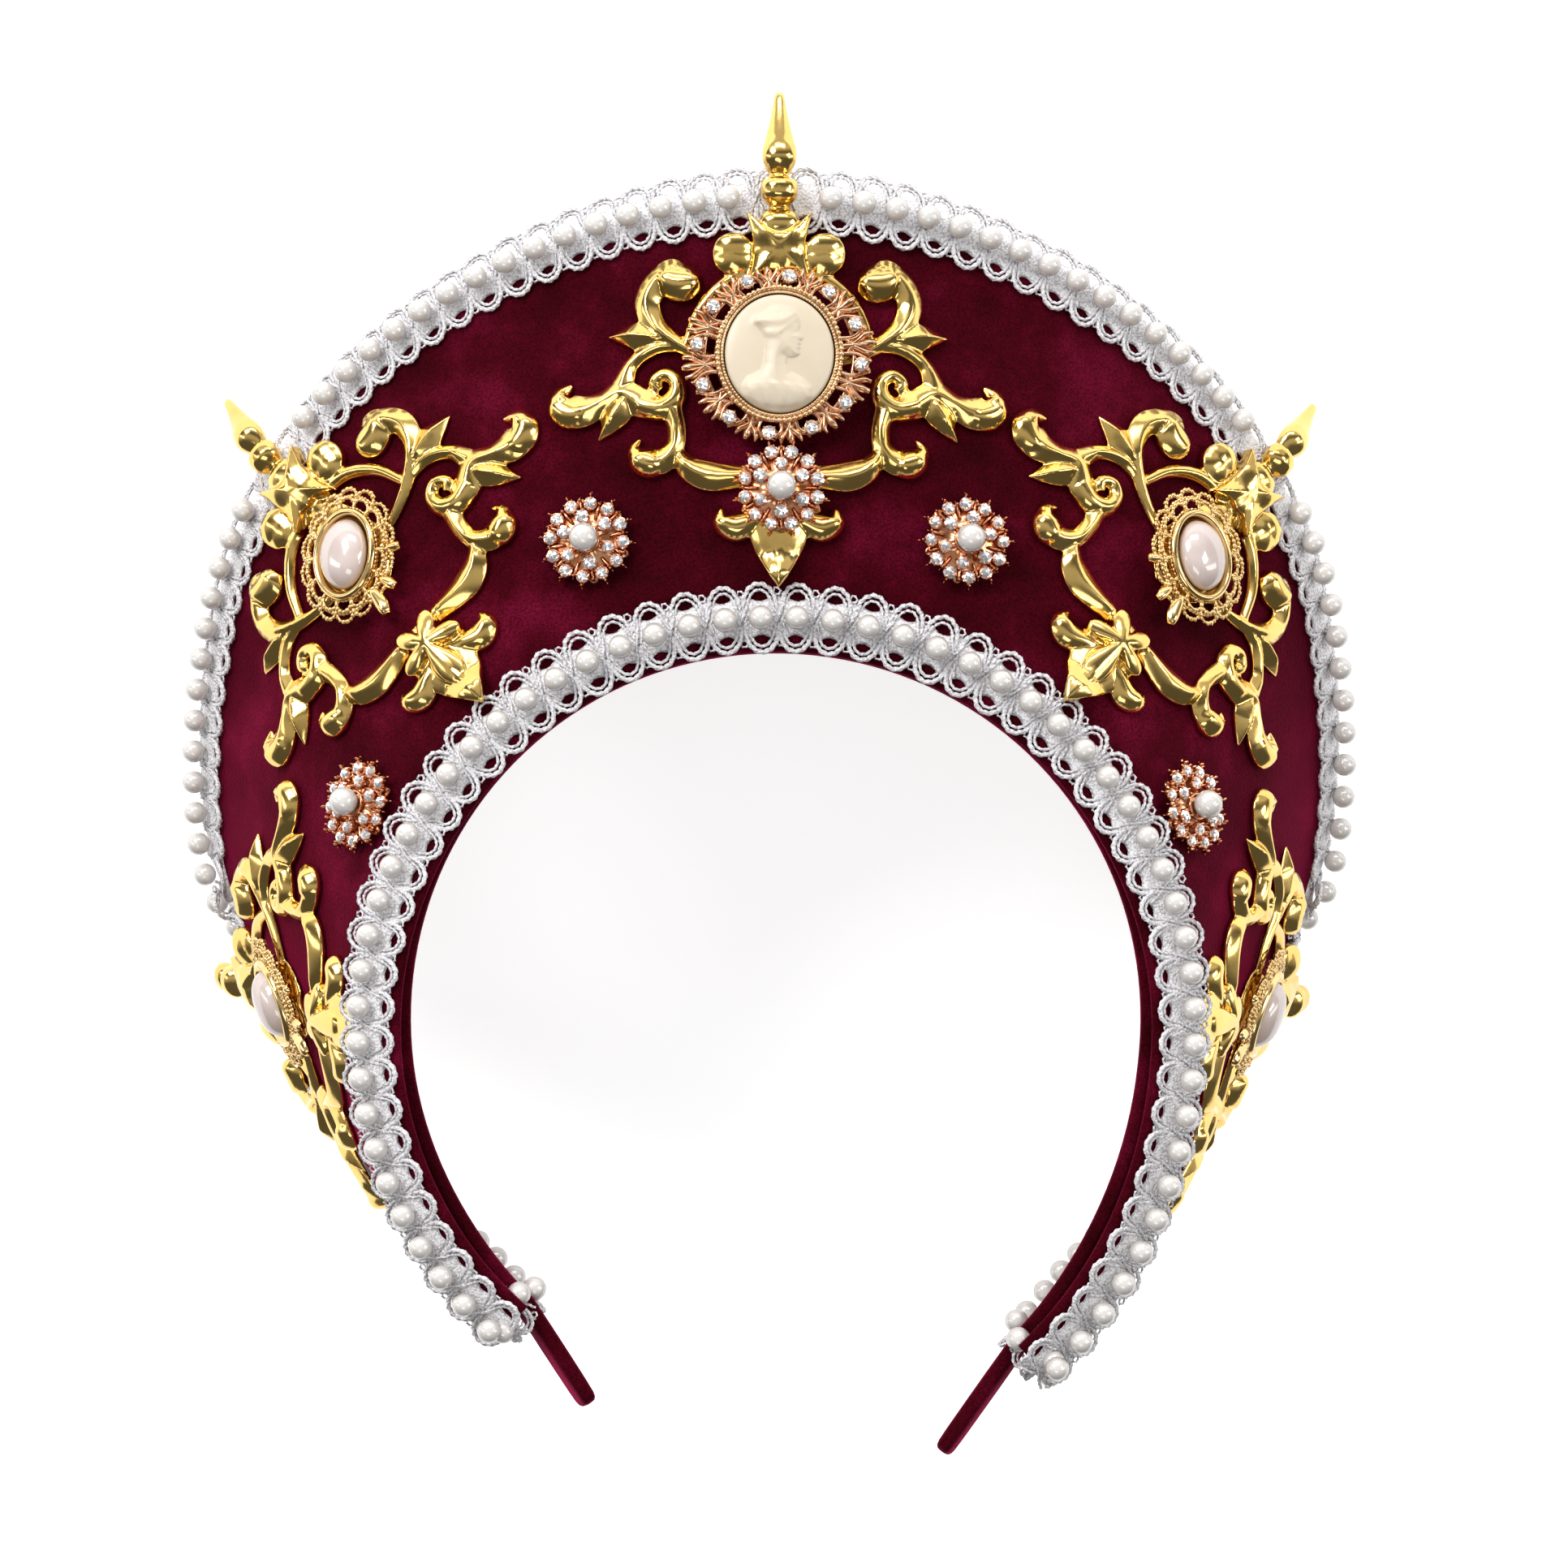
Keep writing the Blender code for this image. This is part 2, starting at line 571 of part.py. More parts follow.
def spoke(half, outer, angle, start, width, height):
    """A leaf that points outwards from the bezel's wall to the setting's outer oval."""
    q = math.radians(angle)
    way = np.array([math.sin(q), math.cos(q)])
    base = np.array(half) * way + way * start
    tip = np.array(outer) * way
    rows = [(*base, width * 0.55), (*(base + (tip - base) * 0.62), width), (*tip, width * 0.3)]
    return stroke_mesh("leaf", height, rows)


def stone_mesh(x, y, radius, low, high):
    """A cut stone: eight sides round a table."""
    a = np.arange(8) * math.pi / 4
    sections = []
    for share, height in ((1.0, low), (0.6, high)):
        sections.append([(x + radius * share * math.sin(q), y + radius * share * math.cos(q), height) for q in a])
    return loft(sections)


def cabochon_mesh(half, height, count):
    rings = [oval((half[0] * k, half[1] * k), count, height * z)
             for k, z in ((0.94, 0.0), (1.0, 0.2), (0.88, 0.62), (0.55, 0.92))]
    verts, faces = loft(rings)
    faces = faces[:-1]
    top = len(verts)
    verts = verts + [(0.0, 0.0, height)]
    first = 3 * count
    faces += [(first + j, first + (j + 1) % count, top) for j in range(count)]
    return verts, faces


def stiff(verts, angle, across, turn, lift, offset=(0.0, 0.0)):
    """Flat points set as a stiff piece on the cloth's tangent at a middle point."""
    here, along, out, normal = cloth_frame(angle, across)
    c, s = math.cos(math.radians(turn)), math.sin(math.radians(turn))
    right = along * c - out * s
    up = out * c + along * s
    verts = np.asarray(verts, float)
    return (here + right * (verts[:, :1] + offset[0]) + up * (verts[:, 1:2] + offset[1])
            + normal * (verts[:, 2:3] + lift))


def ball_mesh(radius, height, sides=10, rows=5):
    rings = []
    for i in range(1, rows):
        q = math.pi * i / rows
        rings.append(oval((radius * math.sin(q),) * 2, sides, height - radius * math.cos(q)))
    verts, faces = loft(rings)
    faces = faces[:-2]
    low, high = len(verts), len(verts) + 1
    verts = verts + [(0.0, 0.0, height - radius), (0.0, 0.0, height + radius)]
    last = (rows - 2) * sides
    faces += [((j + 1) % sides, j, low) for j in range(sides)]
    faces += [(last + j, last + (j + 1) % sides, high) for j in range(sides)]
    return verts, faces


def cameo_pieces(finish, ivory, rest):
    _, angle, across, turn = SCROLLS[0]
    lift = SCROLL_LIFT + CAMEO_LIFT + SEAT_GAP
    pieces = [bezel_mesh(CAMEO_HALF, 20, 2.6, 0.35, 1.5, 0.8)]
    for i in range(16):
        pieces.append(spoke(CAMEO_HALF, CAMEO_OUTER, 11.25 + 22.5 * i, 0.7, 1.3, 1.5))
    verts, faces = united("cameo_setting", pieces)
    solid("cameo_setting", stiff(verts, angle, across, turn, lift), faces, finish, rest, smooth=False)
    verts, faces = cabochon_mesh(CAMEO_HALF, CAMEO_THICKNESS, 20)
    verts = np.array(verts) + [0.0, 0.0, 0.8 + SEAT_GAP]
    solid("cameo", stiff(verts, angle, across, turn, lift), faces, ivory, rest)


def cabochon_pieces(finish, pearl, rest):
    pieces = [bezel_mesh(CABOCHON_HALF, 16, 2.2, 0.5, 1.9, 0.7)]
    for i in range(10):
        pieces.append(spoke(CABOCHON_HALF, CABOCHON_OUTER, 36.0 * i, 0.5, 1.9, 1.4))
    cup = united("cabochon_setting", pieces)
    stone = cabochon_mesh(CABOCHON_HALF, CABOCHON_HEIGHT, 14)
    for name, angle, across, _ in SCROLLS[1:]:
        place = name[len("scroll_"):]
        turn = CABOCHON_TURNS[place]
        lift = SCROLL_LIFT + SEAT_HEIGHT + SEAT_GAP + 0.6
        solid("cabochon_setting_" + place, stiff(cup[0], angle, across, turn, lift), cup[1], finish, rest, smooth=False)
        raised = np.array(stone[0]) + [0.0, 0.0, 0.7 + SEAT_GAP]
        solid("cabochon_" + place, stiff(raised, angle, across, turn, lift), stone[1], pearl, rest)


def flower_mesh():
    a = np.arange(12) * math.pi / 6
    reach = [0.62 if i % 2 else 1.0 for i in range(12)]
    star = []
    for height, grow in ((0.0, 0.94), (1.5, 1.0)):
        star.append([(FLOWER_RADIUS * grow * k * math.sin(q), FLOWER_RADIUS * grow * k * math.cos(q), height)
                     for k, q in zip(reach, a)])
    pieces = [loft(star)]
    for i in range(6):
        q = math.radians(60 * i)
        pieces.append(stone_mesh(5.3 * math.sin(q), 5.3 * math.cos(q), 1.5, 0.8, 2.6))
    return united("flower", pieces)


def flower_pieces(finish, pearl, rest):
    verts, faces = flower_mesh()
    bead = ball_mesh(FLOWER_PEARL_RADIUS, 1.5 + SEAT_GAP + FLOWER_PEARL_RADIUS)
    spots = [(name, angle, across, turn, SEAT_GAP + 0.6, (0.0, 0.0)) for name, angle, across, turn in FLOWERS]
    _, angle, across, turn = SCROLLS[0]
    spots.append(("centre", angle, across, turn, SCROLL_LIFT + CENTRE_FLOWER_LIFT + SEAT_GAP, (0.4, -25.5)))
    for name, angle, across, turn, lift, offset in spots:
        solid("flower_brooch_" + name, stiff(verts, angle, across, turn, lift, offset), faces, finish, rest, smooth=False)
        solid("flower_pearl_" + name, stiff(bead[0], angle, across, turn, lift, offset), bead[1], pearl, rest)


def main():
    clear_scene()
    rest = bpy.data.objects.new("hood_rest", None)
    bpy.context.scene.collection.objects.link(rest)
    rest.rotation_euler = (math.radians(REST_TILT), math.radians(REST_ROLL), 0.0)
    rest.location = tuple(v * MM for v in REST_PLACE)
    velvet = material("velvet", (0.065, 0.002, 0.010), 0.0, 0.75, sheen=0.6)
    lace = material("lace", (0.83, 0.81, 0.84), 0.0, 0.8)
    gold = material("polished_gold", (0.83, 0.60, 0.22), 1.0, 0.16)
    rose = material("rose_gold", (0.72, 0.40, 0.25), 1.0, 0.25)
    pearl = material("pearl", (0.84, 0.79, 0.76), 0.0, 0.22, coat=0.6)
    ivory = material("cameo_ivory", (0.85, 0.78, 0.66), 0.0, 0.42)
    panel_grid(velvet, rest)
    headband(velvet, rest)
    band_lace(lace, rest)
    rim_lace(lace, rest)
    pearl_string("band_trim_pearls", band_pearl_line(), pearl, rest)
    for name, start, end in RIM_STRINGS:
        pearl_string(name, rim_pearl_line(start, end), pearl, rest)
    scrolls(gold, rest)
    cameo_pieces(rose, ivory, rest)
    cabochon_pieces(gold, pearl, rest)
    flower_pieces(rose, pearl, rest)
    bpy.context.view_layer.update()


main()
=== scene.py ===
"""Looks of a french hood: a velvet crescent on a velvet headband, edged with corded lace and pearls and set
with polished scroll ornaments, a cameo, pearl cabochons and small flower brooches.

Shapes are worked out in millimetres in the hood's own frame (X to the viewer's right, Y to the back, Z up,
the origin at the middle of the headband's ring) and are then laid down in the frame, where the hood lies on
its back."""

import math

import bmesh
import bpy
import numpy as np
from mathutils import Euler, Matrix, Vector


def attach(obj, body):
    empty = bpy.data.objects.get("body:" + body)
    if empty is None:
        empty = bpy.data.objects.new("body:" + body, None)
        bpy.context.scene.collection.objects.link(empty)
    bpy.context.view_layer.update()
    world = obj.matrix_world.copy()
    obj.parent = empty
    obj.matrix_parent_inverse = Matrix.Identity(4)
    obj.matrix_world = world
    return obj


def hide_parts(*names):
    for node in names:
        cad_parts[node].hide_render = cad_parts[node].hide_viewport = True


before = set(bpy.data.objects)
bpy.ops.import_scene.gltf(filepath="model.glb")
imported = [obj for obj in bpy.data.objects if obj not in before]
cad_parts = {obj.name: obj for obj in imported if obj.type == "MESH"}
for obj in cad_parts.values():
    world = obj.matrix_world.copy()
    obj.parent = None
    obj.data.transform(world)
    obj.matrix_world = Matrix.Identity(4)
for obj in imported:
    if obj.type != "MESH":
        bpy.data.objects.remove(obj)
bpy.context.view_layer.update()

MM = 0.001

# driving sizes, as in the part's source
RING_RADIUS = 77.0
PANEL_END = 138.5
PANEL_THICKNESS = 2.2
INNER_MARGIN = 6.5
RIM_MARGIN = 1.4
LACE_HALF = 6.8
LACE_THICKNESS = 0.9
SEAT_GAP = 0.32
PEARL_RADIUS = 2.3
RIGHT_END_ANGLE = 4.2
RIGHT_END_SPREAD = 5.0
RIGHT_END_FROM = 95.0

SECTION_COLUMNS = ("angle", "rim_radius", "rim_depth", "band_slope", "rim_slope", "trim_turn")
SECTIONS = np.array([
    (0.0, 157.0, 6.0, 1.0, 7.0, 0.0),
    (20.0, 153.8, 17.7, 8.0, 19.0, 4.0),
    (40.0, 146.2, 36.4, 20.0, 35.0, 11.0),
    (50.0, 139.4, 46.0, 28.0, 43.0, 16.0),
    (58.0, 131.6, 53.6, 35.0, 50.0, 21.0),
    (66.0, 124.2, 60.3, 43.0, 57.0, 26.0),
    (74.0, 117.2, 65.9, 50.0, 63.0, 31.0),
    (83.0, 107.7, 67.5, 58.0, 70.0, 35.0),
    (96.0, 96.3, 65.1, 67.0, 77.0, 38.0),
    (111.0, 86.5, 54.6, 72.0, 90.0, 39.0),
    (120.0, 80.0, 45.0, 74.0, 112.0, 39.0),
    (128.0, 75.5, 33.0, 75.0, 140.0, 39.0),
    (134.0, 74.0, 25.0, 76.0, 160.0, 38.0),
    (138.5, 73.5, 20.0, 76.0, 170.0, 38.0),
])

BAND_COLUMNS = ("angle", "radius", "depth", "lean")
BAND_ROWS = np.array([
    (0.0, 72.2, 7.7, 0.0),
    (60.0, 72.0, 7.2, 6.0),
    (95.0, 71.6, 6.4, 12.0),
    (125.0, 71.4, 6.2, 14.0),
    (138.5, 72.0, 6.2, 14.0),
])
BAND_DEPTH = 10.0
BAND_THICKNESS = 3.4
BAND_TIP_LEFT = (-35.4, -72.8)
BAND_TIP_RIGHT = (32.0, -82.0)

# the ornaments' places: ring angle, share of the way to the rim, turn on the cloth
SCROLLS = (
    ("centre", 0.0, 0.622, 0.0),
    ("upper_left", -42.3, 0.622, 0.5),
    ("upper_right", 41.8, 0.615, 0.5),
    ("lower_left", -88.2, 0.645, 13.5),
    ("lower_right", 89.2, 0.640, -10.5),
)
SCROLL_LIFT = 0.35
SCROLL_SCALE = 1.04
SCROLL_RISE = 1.25
SEAT_HEIGHT = 1.5
CABOCHON_TURNS = {"upper_left": 44.0, "upper_right": -54.0, "lower_left": 84.0, "lower_right": -84.0}
CAMEO_LIFT = 1.62
CENTRE_FLOWER_LIFT = 1.70
FLOWERS = (
    ("mid_left", -21.5, 0.265, 12.0),
    ("mid_right", 21.2, 0.265, -8.0),
    ("low_left", -62.5, 0.20, 20.0),
    ("low_right", 62.5, 0.20, -5.0),
)
CENTRE_FLOWER_OFFSET = (0.4, -25.5)

RIM_STRINGS = (
    ("rim_pearls_left_end", -136.5, -84.6),
    ("rim_pearls_left_side", -82.4, -45.2),
    ("rim_pearls_left_top", -38.6, -2.6),
    ("rim_pearls_right_top", 2.6, 38.4),
    ("rim_pearls_right_side", 45.0, 84.2),
    ("rim_pearls_right_end", 86.4, 136.5),
)

# how the hood lies at rest
REST_TILT = -109.604
REST_ROLL = 0.116
REST_PLACE = (0.165, -41.706, 87.244)
REST = Matrix.Translation(Vector(REST_PLACE) * MM) @ Euler(
    (math.radians(REST_TILT), math.radians(REST_ROLL), 0.0)).to_matrix().to_4x4()
LAID_DOWN = REST @ Matrix.Scale(MM, 4)


# The cloth's surface

def column(table, names, name, angle):
    """A smooth curve through a table's column, level at the top of the ring."""
    rows = np.vstack([table[1], table])
    rows[0, 0] = -table[1, 0]
    x = rows[:, 0]
    y = rows[:, names.index(name)]
    slope = np.gradient(y, x)
    angle = np.clip(np.abs(angle), 0.0, x[-1])
    i = np.clip(np.searchsorted(x, angle, side="right") - 1, 0, len(x) - 2)
    h = x[i + 1] - x[i]
    u = (angle - x[i]) / h
    a = 2 * u**3 - 3 * u**2 + 1
    b = u**3 - 2 * u**2 + u
    c = 3 * u**2 - 2 * u**3
    d = u**3 - u**2
    return a * y[i] + b * h * slope[i] + c * y[i + 1] + d * h * slope[i + 1]


def ring(angle):
    """The true angle and the spread at the right end, which runs a little further than the left."""
    share = np.clip((angle - RIGHT_END_FROM) / (PANEL_END - RIGHT_END_FROM), 0.0, None) ** 1.6
    return angle + RIGHT_END_ANGLE * share, RIGHT_END_SPREAD * share


def cloth(angle, across):
    """Front of the cloth: 0 at the band trim's line and 1 at the rim pearls' line, straight on beyond
    both."""
    angle = np.asarray(angle, float)
    across = np.asarray(across, float)
    r1 = column(SECTIONS, SECTION_COLUMNS, "rim_radius", angle)
    y1 = column(SECTIONS, SECTION_COLUMNS, "rim_depth", angle)
    s0 = np.radians(column(SECTIONS, SECTION_COLUMNS, "band_slope", angle))
    s1 = np.radians(column(SECTIONS, SECTION_COLUMNS, "rim_slope", angle))
    margin = np.radians(column(SECTIONS, SECTION_COLUMNS, "trim_turn", angle))
    width = np.hypot(r1 - RING_RADIUS, y1)
    reach = width * 0.36
    t = np.clip(across, 0.0, 1.0)
    weights = ((1 - t) ** 3, 3 * t * (1 - t) ** 2, 3 * t**2 * (1 - t), t**3)
    radii = (RING_RADIUS, RING_RADIUS + reach * np.cos(s0), r1 - reach * np.cos(s1), r1)
    depths = (0.0, reach * np.sin(s0), y1 - reach * np.sin(s1), y1)
    before = np.clip(across, None, 0.0)
    past = np.clip(across - 1.0, 0.0, None)
    beyond_radius = before * np.cos(margin) + past * np.cos(s1)
    beyond_depth = before * np.sin(margin) + past * np.sin(s1)
    radius = sum(w * r for w, r in zip(weights, radii)) + beyond_radius * width
    depth = sum(w * y for w, y in zip(weights, depths)) + beyond_depth * width
    true, spread = ring(angle)
    true = np.radians(true)
    radius = radius + spread
    return np.stack([radius * np.sin(true), depth + 0 * true, radius * np.cos(true)], axis=-1)


def unit(v):
    return v / np.maximum(np.linalg.norm(v, axis=-1, keepdims=True), 1e-12)


def smooth_step(low, high, x):
    u = np.clip((x - low) / (high - low), 0.0, 1.0)
    return u * u * (3 - 2 * u)


def cloth_frame(angle, across):
    """Point, direction along the ring, direction across and outward normal."""
    here = cloth(angle, across)
    along = unit(cloth(np.asarray(angle) + 0.05, across) - cloth(np.asarray(angle) - 0.05, across))
    out = cloth(angle, np.asarray(across) + 0.002) - cloth(angle, np.asarray(across) - 0.002)
    normal = unit(np.cross(along, out))
    return here, along, unit(np.cross(normal, along)), normal


def trim_frame(angle):
    """The same along the band trim's line, turned as the trim is."""
    here = cloth(angle, 0.0 * np.asarray(angle))
    along = unit(cloth(np.asarray(angle) + 0.05, 0.0) - cloth(np.asarray(angle) - 0.05, 0.0))
    inward = cloth(angle, -0.01 + 0.0 * np.asarray(angle)) - here
    normal = unit(np.cross(along, -inward))
    return here, along, unit(np.cross(normal, along)), normal


def width_at(angle):
    """Width of the cloth between the band trim's line and the rim pearls' line."""
    r1 = column(SECTIONS, SECTION_COLUMNS, "rim_radius", angle)
    y1 = column(SECTIONS, SECTION_COLUMNS, "rim_depth", angle)
    return np.hypot(r1 - RING_RADIUS, y1)


def laid_on_cloth(angle, across, turn, flat):
    """Flat x, y points walked along the cloth from a middle point: the point, the normal, the ring angle and
    the distance across."""
    flat = np.asarray(flat, float)
    count = len(flat)
    here, along, out, normal = (np.repeat(v[None], count, axis=0) for v in cloth_frame(angle, across))
    a = np.full(count, float(angle))
    t = np.full(count, float(across))
    c, s = math.cos(math.radians(turn)), math.sin(math.radians(turn))
    x = flat[:, :1] * c + flat[:, 1:2] * s
    y = flat[:, 1:2] * c - flat[:, :1] * s
    distance = np.hypot(x, y)
    way = (x * along + y * out) / np.maximum(distance, 1e-9)
    steps = 10
    for _ in range(steps):
        aim = here + way * distance / steps
        for _ in range(3):
            here = cloth(a, t)
            da = (cloth(a + 0.05, t) - cloth(a - 0.05, t)) / 0.1
            dt = (cloth(a, t + 0.002) - cloth(a, t - 0.002)) / 0.004
            miss = aim - here
            aa, at, tt = (da * da).sum(1), (da * dt).sum(1), (dt * dt).sum(1)
            ma, mt = (miss * da).sum(1), (miss * dt).sum(1)
            det = aa * tt - at * at
            a = a + (ma * tt - mt * at) / det
            t = t + (mt * aa - ma * at) / det
        here, _, _, normal = cloth_frame(a, t)
        way = unit(way - (way * normal).sum(1, keepdims=True) * normal)
    return here, normal, a, t


def setting_place(angle, across, turn, lift, offset=(0.0, 0.0)):
    """The matrix that sets a flat piece on the cloth's tangent at a middle point."""
    here, along, out, normal = cloth_frame(angle, across)
    c, s = math.cos(math.radians(turn)), math.sin(math.radians(turn))
    right = along * c - out * s
    up = out * c + along * s
    origin = here + right * offset[0] + up * offset[1] + normal * lift
    place = np.eye(4)
    place[:3, 0], place[:3, 1], place[:3, 2], place[:3, 3] = right, up, normal, origin
    return Matrix(place.tolist())


# Meshes

def make_mesh(name, verts, faces):
    mesh = bpy.data.meshes.new(name)
    mesh.from_pydata([tuple(v) for v in np.asarray(verts, float)], [], [tuple(f) for f in faces])
    return mesh


def mended(mesh, merge=0.001):
    """Doubles merged and faces turned outwards."""
    bm = bmesh.new()
    bm.from_mesh(mesh)
    bmesh.ops.remove_doubles(bm, verts=bm.verts, dist=merge)
    bmesh.ops.recalc_face_normals(bm, faces=bm.faces)
    bm.to_mesh(mesh)
    bm.free()
    return mesh


def loft(sections, closed=False):
    """Points and faces between equal closed sections, with flat ends or closed on itself."""
    sections = np.asarray(sections, float)
    rows, n = sections.shape[:2]
    i, j = np.meshgrid(np.arange(rows if closed else rows - 1), np.arange(n), indexing="ij")
    k = (j + 1) % n
    below = (i + 1) % rows
    faces = np.stack([i * n + j, i * n + k, below * n + k, below * n + j], axis=-1).reshape(-1, 4).tolist()
    if not closed:
        faces.append(list(range(n))[::-1])
        faces.append([(rows - 1) * n + q for q in range(n)])
    return sections.reshape(-1, 3), faces


def joined(pieces):
    """One list of points and faces from several."""
    verts, faces, count = [], [], 0
    for points, polygons in pieces:
        verts.append(np.asarray(points, float))
        faces += [[v + count for v in f] for f in polygons]
        count += len(points)
    return np.concatenate(verts), faces


def joined_meshes(name, meshes):
    bm = bmesh.new()
    for mesh in meshes:
        bm.from_mesh(mesh)
    made = bpy.data.meshes.new(name)
    bm.to_mesh(made)
    bm.free()
    return made


def mapped(mesh, change):
    """Every vertex moved by a function of its coordinates."""
    points = np.empty(len(mesh.vertices) * 3)
    mesh.vertices.foreach_get("co", points)
    mesh.vertices.foreach_set("co", np.asarray(change(points.reshape(-1, 3))).ravel())
    mesh.update()
    return mesh


def smooth_line(rows, count):
    """A smooth line through rows of numbers."""
    rows = np.asarray(rows, float)
    steps = np.concatenate([[0.0], np.cumsum(np.linalg.norm(np.diff(rows[:, :2], axis=0), axis=1))])
    slope = np.gradient(rows, steps, axis=0)
    at = np.linspace(0.0, steps[-1], count)
    i = np.clip(np.searchsorted(steps, at, side="right") - 1, 0, len(rows) - 2)
    h = (steps[i + 1] - steps[i])[:, None]
    u = ((at - steps[i])[:, None]) / h
    return ((2 * u**3 - 3 * u**2 + 1) * rows[i] + (u**3 - 2 * u**2 + u) * h * slope[i]
            + (3 * u**2 - 2 * u**3) * rows[i + 1] + (u**3 - u**2) * h * slope[i + 1])


def add_piece(name, mesh, finish, nodes=(), smooth=True, place=None):
    """A finished piece, laid down in the frame."""
    if place is not None:
        mesh.transform(place)
    mesh.transform(LAID_DOWN)
    mesh.materials.clear()
    mesh.materials.append(finish)
    for polygon in mesh.polygons:
        polygon.material_index = 0
    mesh.polygons.foreach_set("use_smooth", [smooth] * len(mesh.polygons))
    mesh.update()
    obj = bpy.data.objects.new(name, mesh)
    bpy.context.scene.collection.objects.link(obj)
    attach(obj, "root")
    if nodes:
        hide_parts(*nodes)
    return obj


# Geometry node trees

def new_tree(name, inputs):
    tree = bpy.data.node_groups.new(name, "GeometryNodeTree")
    tree.interface.new_socket("Geometry", in_out="INPUT", socket_type="NodeSocketGeometry")
    for label, kind, value in inputs:
        socket = tree.interface.new_socket(label, in_out="INPUT", socket_type=kind)
        if value is not None:
            socket.default_value = value
    tree.interface.new_socket("Geometry", in_out="OUTPUT", socket_type="NodeSocketGeometry")
    return tree, tree.nodes.new("NodeGroupInput"), tree.nodes.new("NodeGroupOutput")


def calc(tree, operation, *values):
    """The output of a math node, each value a number or another node's output."""
    node = tree.nodes.new("ShaderNodeMath")
    node.operation = operation
    for socket, value in zip(node.inputs, values):
        if isinstance(value, float):
            socket.default_value = value
        else:
            tree.links.new(value, socket)
    return node.outputs[0]


def random_between(tree, low, high, seed):
    node = tree.nodes.new("FunctionNodeRandomValue")
    node.data_type = "FLOAT"
    tree.links.new(low, node.inputs[2])
    tree.links.new(high, node.inputs[3])
    tree.links.new(seed, node.inputs["Seed"])
    return node.outputs[1]


def random_size(tree, given, size, spread):
    """A size that differs from piece to piece by up to its spread."""
    low = calc(tree, "SUBTRACT", given.outputs[size], given.outputs[spread])
    high = calc(tree, "ADD", given.outputs[size], given.outputs[spread])
    return random_between(tree, low, high, given.outputs["Seed"])


def even_curve(tree, given, spacing):
    """The lines of the mesh as curves with evenly spaced points."""
    line = tree.nodes.new("GeometryNodeMeshToCurve")
    tree.links.new(given.outputs["Geometry"], line.inputs["Mesh"])
    even = tree.nodes.new("GeometryNodeResampleCurve")
    even.mode = "LENGTH"
    tree.links.new(line.outputs[0], even.inputs["Curve"])
    tree.links.new(given.outputs[spacing], even.inputs["Length"])
    return even.outputs[0]


def swept(tree, curve, section):
    """A section swept along a curve, with closed ends."""
    node = tree.nodes.new("GeometryNodeCurveToMesh")
    node.inputs["Fill Caps"].default_value = True
    tree.links.new(curve, node.inputs["Curve"])
    tree.links.new(section, node.inputs["Profile Curve"])
    return node.outputs[0]


def finished(tree, given, result, geometry):
    """The end of every tree: real pieces in their finish."""
    real = tree.nodes.new("GeometryNodeRealizeInstances")
    tree.links.new(geometry, real.inputs[0])
    finish = tree.nodes.new("GeometryNodeSetMaterial")
    tree.links.new(real.outputs[0], finish.inputs["Geometry"])
    tree.links.new(given.outputs["Finish"], finish.inputs["Material"])
    tree.links.new(finish.outputs[0], result.inputs[0])
    return tree


def named_vector(tree, name):
    node = tree.nodes.new("GeometryNodeInputNamedAttribute")
    node.data_type = "FLOAT_VECTOR"
    node.inputs["Name"].default_value = name
    return node.outputs["Attribute"]


def repeated_piece_tree():
    """A small piece stood on every point, facing the point's normal, with a little spread in size and
    turn."""
    tree, given, result = new_tree("repeated_piece", (
        ("Motif", "NodeSocketObject", None), ("Size", "NodeSocketFloat", 1.0),
        ("Size Spread", "NodeSocketFloat", 0.0), ("Turn Spread", "NodeSocketFloat", 0.0),
        ("Seed", "NodeSocketInt", 1), ("Finish", "NodeSocketMaterial", None)))
    node, link = tree.nodes.new, tree.links.new
    motif = node("GeometryNodeObjectInfo")
    link(given.outputs["Motif"], motif.inputs["Object"])
    facing = node("FunctionNodeAxesToRotation")
    facing.primary_axis = "Z"
    facing.secondary_axis = "X"
    link(named_vector(tree, "normal"), facing.inputs[0])
    link(named_vector(tree, "along"), facing.inputs[1])
    spread = given.outputs["Turn Spread"]
    about_normal = node("ShaderNodeCombineXYZ")
    link(random_between(tree, calc(tree, "MULTIPLY", spread, -1.0), spread, given.outputs["Seed"]),
         about_normal.inputs["Z"])
    turned = node("FunctionNodeRotateRotation")
    turned.rotation_space = "LOCAL"
    link(facing.outputs[0], turned.inputs[0])
    link(about_normal.outputs[0], turned.inputs[1])
    placed = node("GeometryNodeInstanceOnPoints")
    link(given.outputs["Geometry"], placed.inputs["Points"])
    link(motif.outputs["Geometry"], placed.inputs["Instance"])
    link(turned.outputs[0], placed.inputs["Rotation"])
    link(random_size(tree, given, "Size", "Size Spread"), placed.inputs["Scale"])
    return finished(tree, given, result, placed.outputs[0])


